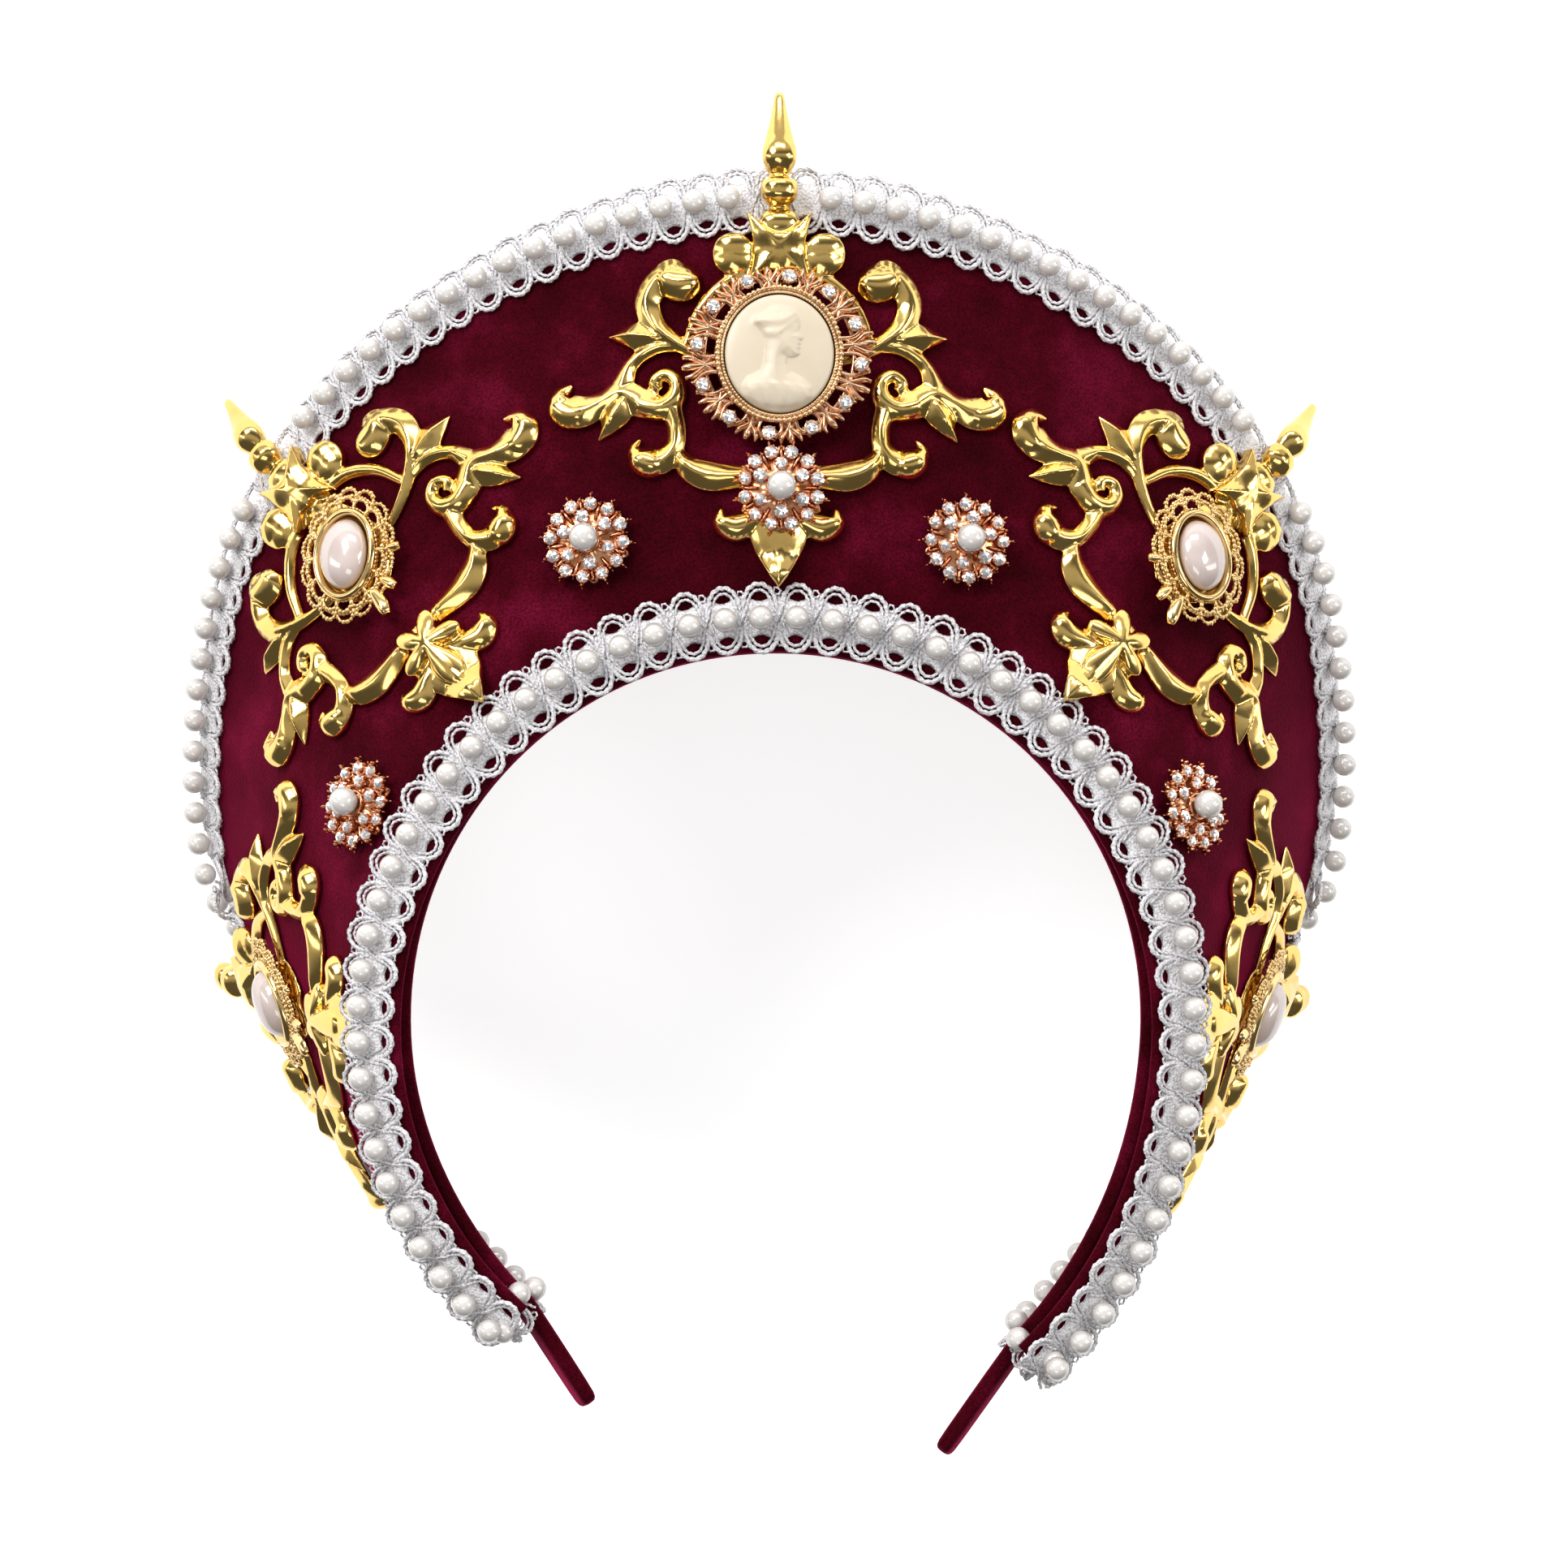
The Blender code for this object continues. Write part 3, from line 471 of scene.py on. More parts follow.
def twisted_cord_tree():
    """A plied cord along every line of the mesh."""
    tree, given, result = new_tree("twisted_cord", (
        ("Cord Radius", "NodeSocketFloat", 0.5), ("Ply Depth", "NodeSocketFloat", 0.6),
        ("Plies", "NodeSocketInt", 3), ("Twist", "NodeSocketFloat", 1.6), ("Step", "NodeSocketFloat", 0.6),
        ("Finish", "NodeSocketMaterial", None)))
    node, link = tree.nodes.new, tree.links.new
    tilt = node("GeometryNodeSetCurveTilt")
    link(even_curve(tree, given, "Step"), tilt.inputs["Curve"])
    link(calc(tree, "MULTIPLY", node("GeometryNodeSplineParameter").outputs["Length"],
              given.outputs["Twist"]),
         tilt.inputs["Tilt"])
    section = node("GeometryNodeCurveStar")
    link(given.outputs["Plies"], section.inputs["Points"])
    link(given.outputs["Cord Radius"], section.inputs["Outer Radius"])
    link(calc(tree, "MULTIPLY", given.outputs["Cord Radius"], given.outputs["Ply Depth"]),
         section.inputs["Inner Radius"])
    return finished(tree, given, result, swept(tree, tilt.outputs[0], section.outputs["Curve"]))


def granulated_wire_tree():
    """A wire with a row of small grains on it, along every line of the mesh."""
    tree, given, result = new_tree("granulated_wire", (
        ("Grain Radius", "NodeSocketFloat", 0.4), ("Grain Spread", "NodeSocketFloat", 0.08),
        ("Grain Pitch", "NodeSocketFloat", 0.62), ("Wire Radius", "NodeSocketFloat", 0.3),
        ("Seed", "NodeSocketInt", 3), ("Finish", "NodeSocketMaterial", None)))
    node, link = tree.nodes.new, tree.links.new
    even = even_curve(tree, given, "Grain Pitch")
    grain = node("GeometryNodeMeshIcoSphere")
    grain.inputs["Subdivisions"].default_value = 1
    grain.inputs["Radius"].default_value = 1.0
    grains = node("GeometryNodeInstanceOnPoints")
    link(even, grains.inputs["Points"])
    link(grain.outputs[0], grains.inputs["Instance"])
    link(random_size(tree, given, "Grain Radius", "Grain Spread"), grains.inputs["Scale"])
    section = node("GeometryNodeCurvePrimitiveCircle")
    section.inputs["Resolution"].default_value = 6
    link(given.outputs["Wire Radius"], section.inputs["Radius"])
    both = node("GeometryNodeJoinGeometry")
    link(swept(tree, even, section.outputs["Curve"]), both.inputs[0])
    link(grains.outputs[0], both.inputs[0])
    return finished(tree, given, result, both.outputs[0])


def grown(tree, mesh, **inputs):
    """The plain mesh that a tree makes from a mesh of points or lines. Input names have _ for a space."""
    helper = bpy.data.objects.new(mesh.name, mesh)
    bpy.context.scene.collection.objects.link(helper)
    modifier = helper.modifiers.new("grow", "NODES")
    modifier.node_group = tree
    sockets = {item.name: item.identifier for item in tree.interface.items_tree
               if item.item_type == "SOCKET" and item.in_out == "INPUT"}
    for label, value in inputs.items():
        modifier[sockets[label.replace("_", " ")]] = value
    bpy.context.view_layer.update()
    graph = bpy.context.evaluated_depsgraph_get()
    made = bpy.data.meshes.new_from_object(helper.evaluated_get(graph), depsgraph=graph)
    bpy.data.objects.remove(helper)
    return made


def line_mesh(name, lines):
    """A mesh of open or closed lines, each given as points and whether it is closed."""
    verts, edges = [], []
    for points, closed in lines:
        first = len(verts)
        verts += [tuple(p) for p in points]
        edges += [(first + i, first + i + 1) for i in range(len(points) - 1)]
        if closed:
            edges.append((first + len(points) - 1, first))
    mesh = bpy.data.meshes.new(name)
    mesh.from_pydata(verts, edges, [])
    return mesh


def point_mesh(name, points, along, normal):
    """A mesh of points that carry the direction and the normal of what stands on them."""
    mesh = bpy.data.meshes.new(name)
    mesh.from_pydata([tuple(p) for p in points], [], [])
    for label, values in (("along", along), ("normal", normal)):
        attribute = mesh.attributes.new(label, "FLOAT_VECTOR", "POINT")
        attribute.data.foreach_set("vector", np.asarray(values, float).ravel())
    return mesh


def repeated(name, motif_mesh, points, along, normal, finish, **inputs):
    """One motif stood on every point."""
    motif = bpy.data.objects.new(name + "_motif", motif_mesh)
    bpy.context.scene.collection.objects.link(motif)
    made = grown(REPEATED_PIECE, point_mesh(name, points, along, normal), Motif=motif, Finish=finish,
                 **inputs)
    bpy.data.objects.remove(motif)
    return made


# Finishes

def shader_group(name, inputs, outputs):
    group = bpy.data.node_groups.new(name, "ShaderNodeTree")
    for label, value in inputs:
        socket = group.interface.new_socket(label, in_out="INPUT", socket_type="NodeSocketFloat")
        socket.default_value = value
    for label in outputs:
        group.interface.new_socket(label, in_out="OUTPUT", socket_type="NodeSocketFloat")
    return group, group.nodes.new("NodeGroupInput"), group.nodes.new("NodeGroupOutput")


def mottle_group():
    """Slow and fine unevenness over a surface, both about 0.5."""
    group, given, result = shader_group("mottle", (("Patch Scale", 60.0), ("Grain Scale", 1500.0)),
                                        ("Patches", "Grain"))
    place = group.nodes.new("ShaderNodeTexCoord")
    for label, scale, detail in (("Patches", "Patch Scale", 3.0), ("Grain", "Grain Scale", 2.0)):
        noise = group.nodes.new("ShaderNodeTexNoise")
        noise.inputs["Detail"].default_value = detail
        noise.inputs["Roughness"].default_value = 0.6
        group.links.new(place.outputs["Object"], noise.inputs["Vector"])
        group.links.new(given.outputs[scale], noise.inputs["Scale"])
        group.links.new(noise.outputs["Fac"], result.inputs[label])
    return group


def thread_group():
    """Small crossing threads: a height for cords and woven lace."""
    group, given, result = shader_group("threads", (("Thread Scale", 1700.0),), ("Height",))
    place = group.nodes.new("ShaderNodeTexCoord")
    cells = group.nodes.new("ShaderNodeTexVoronoi")
    cells.feature = "F1"
    cells.inputs["Randomness"].default_value = 0.85
    group.links.new(place.outputs["Object"], cells.inputs["Vector"])
    group.links.new(given.outputs["Thread Scale"], cells.inputs["Scale"])
    group.links.new(calc(group, "SUBTRACT", 1.0, cells.outputs["Distance"]), result.inputs["Height"])
    return group


def new_finish(name):
    finish = bpy.data.materials.new(name)
    finish.use_nodes = True
    return finish, finish.node_tree, finish.node_tree.nodes["Principled BSDF"]


def set_inputs(node, **values):
    """A node's inputs by name, with _ for a space."""
    for label, value in values.items():
        node.inputs[label.replace("_", " ")].default_value = value


def placed_group(tree, group, **values):
    node = tree.nodes.new("ShaderNodeGroup")
    node.node_tree = group
    set_inputs(node, **values)
    return node


def ramp(tree, source, stops):
    node = tree.nodes.new("ShaderNodeValToRGB")
    tree.links.new(source, node.inputs["Fac"])
    elements = node.color_ramp.elements
    while len(elements) < len(stops):
        elements.new(0.5)
    for element, (at, color) in zip(elements, stops):
        element.position = at
        element.color = (*color, 1.0)
    return node.outputs["Color"]


def bump(tree, shader, height, strength, distance):
    node = tree.nodes.new("ShaderNodeBump")
    node.inputs["Strength"].default_value = strength
    node.inputs["Distance"].default_value = distance
    tree.links.new(height, node.inputs["Height"])
    tree.links.new(node.outputs["Normal"], shader.inputs["Normal"])


def velvet_finish(name):
    """Dark burgundy pile, brushed a little unevenly, with a bright sheen where it is seen along the pile."""
    finish, tree, shader = new_finish(name)
    uneven = placed_group(tree, MOTTLE, Patch_Scale=55.0, Grain_Scale=2300.0)
    pile = tree.nodes.new("ShaderNodeMixRGB")
    pile.blend_type = "MULTIPLY"
    pile.inputs["Fac"].default_value = 1.0
    brushed = ramp(tree, uneven.outputs["Patches"], (
        (0.30, (0.032, 0.0003, 0.0022)), (0.52, (0.066, 0.0008, 0.0064)), (0.74, (0.150, 0.004, 0.024))))
    tips = ramp(tree, uneven.outputs["Grain"], ((0.34, (0.42, 0.42, 0.42)), (0.66, (1.15, 1.15, 1.15))))
    tree.links.new(brushed, pile.inputs[1])
    tree.links.new(tips, pile.inputs[2])
    tree.links.new(pile.outputs[0], shader.inputs["Base Color"])
    set_inputs(shader, Roughness=0.9, Specular_IOR_Level=0.04, Sheen_Weight=0.75, Sheen_Roughness=0.38,
               Sheen_Tint=(0.70, 0.020, 0.14, 1.0))
    bump(tree, shader, uneven.outputs["Grain"], 0.6, 0.0003)
    return finish


def lace_finish(name):
    """White cotton, with painted shade between its threads."""
    finish, tree, shader = new_finish(name)
    threads = placed_group(tree, THREADS, Thread_Scale=1900.0)
    # painted shade: the colour darkens where the thread height falls, between the threads
    tree.links.new(ramp(tree, threads.outputs["Height"], (
        (0.25, (0.60, 0.57, 0.60)), (0.50, (0.87, 0.85, 0.87)), (0.75, (0.96, 0.955, 0.965)))),
        shader.inputs["Base Color"])
    set_inputs(shader, Roughness=0.7, Sheen_Weight=0.2, Sheen_Roughness=0.4)
    bump(tree, shader, threads.outputs["Height"], 0.7, 0.0004)
    return finish


def pearl_finish(name, color, edge):
    """Milky beads with painted shade towards their rims, under a clear bright coat."""
    finish, tree, shader = new_finish(name)
    uneven = placed_group(tree, MOTTLE, Patch_Scale=260.0, Grain_Scale=900.0)
    # painted shade: the colour runs from the given colour to the edge colour as the surface turns away from
    # the camera, with a little random clouding
    facing = tree.nodes.new("ShaderNodeLayerWeight")
    facing.inputs["Blend"].default_value = 0.42
    shade = calc(tree, "MULTIPLY_ADD", uneven.outputs["Patches"], 0.12, facing.outputs["Facing"])
    between = tuple(0.6 * c + 0.4 * e for c, e in zip(color, edge))
    tree.links.new(ramp(tree, shade, ((0.08, color), (0.42, between), (0.80, edge))),
                   shader.inputs["Base Color"])
    set_inputs(shader, Roughness=0.30, Coat_Weight=1.0, Coat_IOR=1.9, Coat_Roughness=0.06,
               Subsurface_Weight=0.10, Subsurface_Radius=(0.0012, 0.0009, 0.0007), Subsurface_Scale=1.0)
    bump(tree, shader, uneven.outputs["Grain"], 0.05, 0.0002)
    return finish


def metal_finish(name, stops, rough, patch_scale, dent):
    """Polished metal, its colour and polish a little uneven."""
    finish, tree, shader = new_finish(name)
    uneven = placed_group(tree, MOTTLE, Patch_Scale=patch_scale, Grain_Scale=4200.0)
    tree.links.new(ramp(tree, uneven.outputs["Patches"], stops), shader.inputs["Base Color"])
    shader.inputs["Metallic"].default_value = 1.0
    polish = tree.nodes.new("ShaderNodeMapRange")
    set_inputs(polish, To_Min=rough[0], To_Max=rough[1])
    tree.links.new(uneven.outputs["Grain"], polish.inputs["Value"])
    tree.links.new(polish.outputs[0], shader.inputs["Roughness"])
    bump(tree, shader, uneven.outputs["Patches"], dent, 0.0006)
    return finish


def stone_finish(name):
    """Clear foil-backed cut stones, with a faint painted glow."""
    finish, tree, shader = new_finish(name)
    uneven = placed_group(tree, MOTTLE, Patch_Scale=700.0, Grain_Scale=2600.0)
    tree.links.new(ramp(tree, uneven.outputs["Patches"], (
        (0.3, (0.78, 0.81, 0.86)), (0.6, (0.97, 0.97, 0.98)))), shader.inputs["Base Color"])
    # painted glow: the emission brightens the stones, which give no light of their own
    set_inputs(shader, Metallic=0.85, Emission_Color=(0.9, 0.95, 1.0, 1.0), Emission_Strength=0.08,
               Roughness=0.04, Coat_Weight=1.0, Coat_Roughness=0.02)
    return finish


def cameo_finish(name):
    """Pale shell, faintly clouded."""
    finish, tree, shader = new_finish(name)
    uneven = placed_group(tree, MOTTLE, Patch_Scale=190.0, Grain_Scale=1800.0)
    shade = calc(tree, "MULTIPLY_ADD", uneven.outputs["Patches"], 0.16, 0.5)
    tree.links.new(ramp(tree, shade, (
        (0.10, (0.40, 0.29, 0.17)), (0.45, (0.66, 0.55, 0.40)), (0.62, (0.74, 0.64, 0.49)),
        (0.95, (0.86, 0.79, 0.66)))), shader.inputs["Base Color"])
    set_inputs(shader, Roughness=0.42, Coat_Weight=0.25, Coat_Roughness=0.25, Subsurface_Weight=0.12,
               Subsurface_Radius=(0.0014, 0.0010, 0.0006), Subsurface_Scale=1.0)
    bump(tree, shader, uneven.outputs["Grain"], 0.06, 0.0002)
    return finish


# Velvet crescent and headband

def ripple(angle, across):
    """How far the cloth lies in from its board: faint pulls across the sides."""
    side = smooth_step(45.0, 80.0, np.abs(angle))
    wave = 0.5 + 0.5 * np.sin(angle * 0.62 + 2.2 * np.sin(angle * 0.11))
    middle = np.clip(across * (1.0 - across) * 4.0, 0.0, 1.0)
    return 0.28 * side * wave * middle


def velvet_crescent():
    """The cloth over its board as one closed shell, with rounded edges."""
    angles = np.linspace(-PANEL_END, PANEL_END, 260)
    half = PANEL_THICKNESS / 2
    sections = []
    for angle in angles:
        width = float(width_at(angle))
        start = (-INNER_MARGIN + half) / width
        end = 1.0 - (RIM_MARGIN + half) / width
        t = np.linspace(start, end, 34)
        here, _, out, normal = cloth_frame(np.full(len(t), angle), t)
        front = here - normal * ripple(angle, t)[:, None]
        back = (here - normal * PANEL_THICKNESS)[::-1]
        turns = np.radians([60.0, 30.0, 0.0, -30.0, -60.0])[:, None]
        rim = here[-1] - normal[-1] * half + half * (out[-1] * np.cos(turns) + normal[-1] * np.sin(turns))
        inner = here[0] - normal[0] * half + half * (-out[0] * np.cos(turns) - normal[0] * np.sin(turns))
        sections.append(np.concatenate([front, rim, back, inner]))
    mesh = mended(make_mesh("velvet_crescent", *loft(sections)))
    piece = add_piece("velvet_crescent", mesh, VELVET, ("hood_panel",))
    area = sum(p.area for p in mesh.polygons) / 2
    return piece, area


def band_frame(angle):
    radius = float(column(BAND_ROWS, BAND_COLUMNS, "radius", angle))
    depth = float(column(BAND_ROWS, BAND_COLUMNS, "depth", angle))
    lean = math.radians(float(column(BAND_ROWS, BAND_COLUMNS, "lean", angle)))
    true, spread = ring(np.asarray(angle, float))
    true = math.radians(float(true))
    radial = np.array([math.sin(true), 0.0, math.cos(true)])
    here = radial * (radius + float(spread)) + np.array([0.0, depth, 0.0])
    deep = np.array([0.0, math.cos(lean), 0.0]) + radial * math.sin(lean)
    thick = radial * math.cos(lean) - np.array([0.0, math.sin(lean), 0.0])
    return here, deep, thick


def band_section(here, deep, thick, share=1.0):
    """A flat oval with full corners."""
    q = np.radians(np.arange(28) * 360.0 / 28 + 6.0)
    w = BAND_DEPTH / 2 * share * np.sign(np.cos(q)) * np.abs(np.cos(q)) ** 0.42
    h = BAND_THICKNESS / 2 * share * np.sign(np.sin(q)) * np.abs(np.sin(q)) ** 0.62
    return here + deep * w[:, None] + thick * h[:, None]


def velvet_headband():
    sections = [band_section(*band_frame(angle)) for angle in np.linspace(-PANEL_END, PANEL_END, 120)]
    for tip, at_start in ((BAND_TIP_LEFT, True), (BAND_TIP_RIGHT, False)):
        here, deep, thick = band_frame(-PANEL_END if at_start else PANEL_END)
        end = np.array([tip[0], here[1], tip[1]])
        length = np.linalg.norm(end - here)
        way = unit(end - here)
        after = unit(np.cross(way, deep))
        after = -after if after @ here < 0 else after
        rings = []
        for at, share in ((4.0, 1.0), (9.0, 1.0), (length * 0.6, 0.99), (length - 4.0, 0.97),
                          (length - 1.6, 0.93), (length - 0.7, 0.84), (length - 0.15, 0.62), (length, 0.3)):
            turned = unit(thick + (after - thick) * min(at / 9.0, 1.0))
            rings.append(band_section(here + way * at, deep, turned, share))
        sections = rings[::-1] + sections if at_start else sections + rings
    mesh = mended(make_mesh("velvet_headband", *loft(sections)))
    return add_piece("velvet_headband", mesh, VELVET_BAND, ("headband",))


# Pearls and corded lace

PEARL_PITCH = 6.75
BAND_PEARLS = 57
BAND_TRIM_INSET = 1.6           # how far short of the panel's end the band trim's first and last pearls are
RIM_TRIM_INSET = 2.0
BAND_BEAD_SINK = 0.25           # how deep the beads of each trim press into the lace
RIM_BEAD_SINK = 0.15
BEAD_VARIETY = {"Size_Spread": 0.02, "Turn_Spread": 3.0}
EDGE_TURNS_FROM = 74.0          # the rim trim turns from the front onto the rim's edge
EDGE_TURNS_TO = 84.0


def even_angles(line, start, end, count=None, pitch=None, inset=0.0):
    """Ring angles at even distances along a line given as a function of the angle."""
    fine = np.linspace(start, end, 3000)
    steps = np.concatenate([[0.0], np.cumsum(np.linalg.norm(np.diff(line(fine), axis=0), axis=1))])
    if count is None:
        count = int(round((steps[-1] - 2 * inset) / pitch)) + 1
    return np.interp(np.linspace(inset, steps[-1] - inset, count), steps, fine)


def band_pearl_places(angle):
    here, _, _, normal = trim_frame(angle)
    return here + normal * (2 * SEAT_GAP + LACE_THICKNESS + PEARL_RADIUS - BAND_BEAD_SINK)


def rim_frame(angle):
    """Foot of the rim trim's middle line, direction along, across and up, turning onto the rim's edge at the
    ends."""
    angle = np.asarray(angle, float)
    edge = 1.0 - RIM_MARGIN / width_at(angle)
    here, along, out, normal = cloth_frame(angle, edge)
    turn = math.radians(90.0) * smooth_step(EDGE_TURNS_FROM, EDGE_TURNS_TO, np.abs(angle))[..., None]
    share = turn / math.radians(90.0)
    foot = here + out * RIM_MARGIN * (1.0 - share) - normal * (PANEL_THICKNESS / 2) * share
    up = normal * np.cos(turn) + out * np.sin(turn)
    across = out * np.cos(turn) - normal * np.sin(turn)
    return foot, along, across, up


def rim_pearl_places(angle):
    foot, _, _, up = rim_frame(angle)
    return foot + up * (2 * SEAT_GAP + LACE_THICKNESS + PEARL_RADIUS - RIM_BEAD_SINK)


def bead_mesh(radius, around=20, rows=12):
    """A round bead, its poles on X, drilled through with small dimples."""
    bm = bmesh.new()
    bmesh.ops.create_uvsphere(bm, u_segments=around, v_segments=rows, radius=radius)
    bmesh.ops.rotate(bm, verts=bm.verts, cent=(0, 0, 0), matrix=Matrix.Rotation(math.radians(90), 3, "Y"))
    mesh = bpy.data.meshes.new("bead")
    bm.to_mesh(mesh)
    bm.free()
    return mapped(mesh, lambda p: p * np.stack([np.where(np.abs(p[:, 0]) > radius * 0.985, 0.94, 1.0)] * 3,
                                               axis=1))


def pearl_strings():
    """The pearls of both trims. Returns the ring angles of the band trim's pearls, which the lace follows."""
    band_angles = even_angles(band_pearl_places, -PANEL_END + BAND_TRIM_INSET, PANEL_END - BAND_TRIM_INSET,
                              count=BAND_PEARLS)
    _, along, _, normal = trim_frame(band_angles)
    mesh = repeated("band_trim_pearl_beads", bead_mesh(PEARL_RADIUS), band_pearl_places(band_angles), along,
                    normal, PEARL, Seed=4, **BEAD_VARIETY)
    add_piece("band_trim_pearl_beads", mesh, PEARL, ("band_trim_pearls",))
    for name, start, end in RIM_STRINGS:
        angles = even_angles(rim_pearl_places, start, end, pitch=PEARL_PITCH, inset=PEARL_RADIUS)
        _, along, _, up = rim_frame(angles)
        mesh = repeated(name + "_beads", bead_mesh(PEARL_RADIUS), rim_pearl_places(angles), along, up, PEARL,
                        Seed=5, **BEAD_VARIETY)
        add_piece(name + "_beads", mesh, PEARL, (name,))
    return band_angles


def arc(middle, half_x, half_y, start, end, count, height):
    q = np.radians(np.linspace(start, end, count))
    return np.stack([middle[0] + half_x * np.cos(q), middle[1] + half_y * np.sin(q), np.full(count, height)],
                    axis=1)


# cords of one lace scallop: across of its middle, half width, half height, height of the cord, its radius,
# its twist
SCALLOP_CORDS = (
    (2.2, 3.05, 4.15, 0.95, 0.55, 1.45),
    (2.5, 2.10, 2.75, 0.80, 0.36, 1.70),
)


def cords(name, lines, radius, twist, step):
    return grown(TWISTED_CORD, line_mesh(name, lines), Cord_Radius=radius, Ply_Depth=0.58, Twist=twist,
                 Step=step, Finish=LACE)


BAND_CORD_STEP = 0.5            # how finely the cords of each trim follow their lines
RIM_CORD_STEP = 0.62


def lace_motif(step):
    """One repeat of the lace, flat: two corded scallops, small picots and the threads that cross between
    pearls."""
    meshes = []
    for side in (1.0, -1.0):
        for middle, half_width, half_height, lift, radius, twist in SCALLOP_CORDS:
            points = arc((0.0, middle), half_width, half_height, -34.0, 214.0, 26, lift)
            points[:, 1] *= side
            meshes.append(cords("scallop", [(points, False)], radius, twist * side, step))
        picot = arc((PEARL_PITCH / 2, 4.75 * side), 0.72, 0.78, 0.0, 330.0, 8, 0.85)
        meshes.append(cords("picot", [(picot, True)], 0.28, 1.7, 0.85))
    crossings = []
    for lean in (-1.0, 1.0):
        x = PEARL_PITCH / 2
        crossings.append(([(x - 1.5 * lean, -3.9, 0.85), (x - 0.9 * lean, -1.8, 1.2),
                           (x, 0.0, 1.3 + 0.2 * lean), (x + 0.9 * lean, 1.8, 1.2),
                           (x + 1.5 * lean, 3.9, 0.85)], False))
    meshes.append(cords("crossings", crossings, 0.42, 1.5, step))
    return joined_meshes("lace_motif", meshes)


def fold_front(points):
    """The lace over the rim: flat on the front, then standing out past the edge and bowing back."""
    radius, start = 7.0, 1.0
    x, v, z = points[:, 0], points[:, 1], points[:, 2]
    turn = np.clip(v - start, 0.0, None) / radius
    y = np.where(v > start, start + (radius + z) * np.sin(turn), v)
    height = np.where(v > start, (radius + z) * np.cos(turn) - radius, z)
    return np.stack([x, y, height], axis=1)


def fold_edge(points):
    """The lace folded both ways round the rim's edge."""
    radius, start = 1.65, 0.25
    x, v, z = points[:, 0], points[:, 1], points[:, 2]
    away = np.clip(np.abs(v) - start, 0.0, None)
    turn = np.clip(away / radius, 0.0, math.radians(88.0))
    rest = away - turn * radius
    y = np.sign(v) * (np.minimum(np.abs(v), start) + (radius + z) * np.sin(turn) + rest * np.cos(turn))
    height = (radius + z) * np.cos(turn) - radius - rest * np.sin(turn)
    return np.stack([x, y, height], axis=1)


def woven_strip(places, line, frames, fold, start, end):
    """The dense woven middle of the lace, wider between the pearls than under them."""
    angles = even_angles(line, start, end, count=(len(places) - 1) * 8 + 9)
    wave = np.interp(angles, places, np.arange(len(places)))
    half = 3.2 + 1.25 * (0.5 - 0.5 * np.cos(2 * math.pi * wave))
    foot, along, across, up = frames(angles)
    v = np.array([-1.0, -0.82, -0.5, 0.0, 0.5, 0.82, 1.0, 0.8, 0.0, -0.8])
    z = np.array([0.40, 0.82, 1.05, 1.12, 1.05, 0.82, 0.40, 0.34, 0.34, 0.34])
    sections = []
    for i in range(len(angles)):
        flat = np.stack([np.zeros(len(v)), v * half[i], z], axis=1)
        bent = fold(flat)
        sections.append(foot[i] + across[i] * bent[:, 1:2] + up[i] * bent[:, 2:3])
    return mended(make_mesh("woven_strip", *loft(sections)))


def unfolded(points):
    return points


def lace_run(name, angles, frames, fold, motif, seed):
    """The motif repeated along a trim, one at every ring angle."""
    foot, along, across, up = frames(angles)
    piece = mapped(motif.copy(), fold)
    return repeated(name, piece, foot, along, up, LACE, Size_Spread=0.025, Turn_Spread=0.05, Seed=seed)


CUFF_ANGLE = 137.4
CUFF_HALF = (3.3, 8.6)          # half height along the ring's radius and half depth of the cuff's inside
CUFF_MIDDLE = (74.6, 9.4)       # radius and depth of its middle
CUFF_SIZE = 0.78
CUFF_LACE_TURNS = np.arange(9) * 40.0 + 12.0
CUFF_BEAD_TURNS = np.array([28.0, 70.0, 118.0, 160.0])
CUFF_BEAD_ACROSS = np.array([0.8, -1.4, 1.2, -0.6])
CUFF_BEAD_LIFT = 3.0


def cuff_frame(side, turns):
    """Points round the cuff that gathers both trims' ends about the band: foot, along, across and up."""
    true, spread = ring(np.asarray(CUFF_ANGLE * side))
    true = math.radians(float(true))
    radial = np.array([math.sin(true), 0.0, math.cos(true)])
    deep = np.array([0.0, 1.0, 0.0])
    q = np.radians(turns)[:, None]
    middle = radial * (CUFF_MIDDLE[0] + float(spread)) + deep * CUFF_MIDDLE[1]
    foot = middle + radial * CUFF_HALF[0] * np.cos(q) - deep * CUFF_HALF[1] * np.sin(q)
    up = unit(radial * np.cos(q) / CUFF_HALF[0] - deep * np.sin(q) / CUFF_HALF[1])
    along = unit(-radial * CUFF_HALF[0] * np.sin(q) - deep * CUFF_HALF[1] * np.cos(q))
    return foot, along, np.cross(up, along), up


def cuffs(motif):
    """Lace and pearls round the band where the trims end."""
    lace, beads = [], []
    for seed, side in enumerate((-1.0, 1.0)):
        foot, along, _, up = cuff_frame(side, CUFF_LACE_TURNS)
        lace.append(repeated("cuff_lace", motif.copy(), foot, along, up, LACE, Size=CUFF_SIZE,
                             Size_Spread=0.04, Turn_Spread=0.15, Seed=30 + seed))
        foot, along, across, up = cuff_frame(side, CUFF_BEAD_TURNS)
        places = foot + up * CUFF_BEAD_LIFT + across * CUFF_BEAD_ACROSS[:, None]
        beads.append(repeated("cuff_beads", bead_mesh(PEARL_RADIUS), places, along, up, PEARL, Seed=40 + seed,
                              **BEAD_VARIETY))
    add_piece("trim_end_lace", joined_meshes("cuff_lace", lace), LACE)
    add_piece("trim_end_beads", joined_meshes("cuff_beads", beads), PEARL)


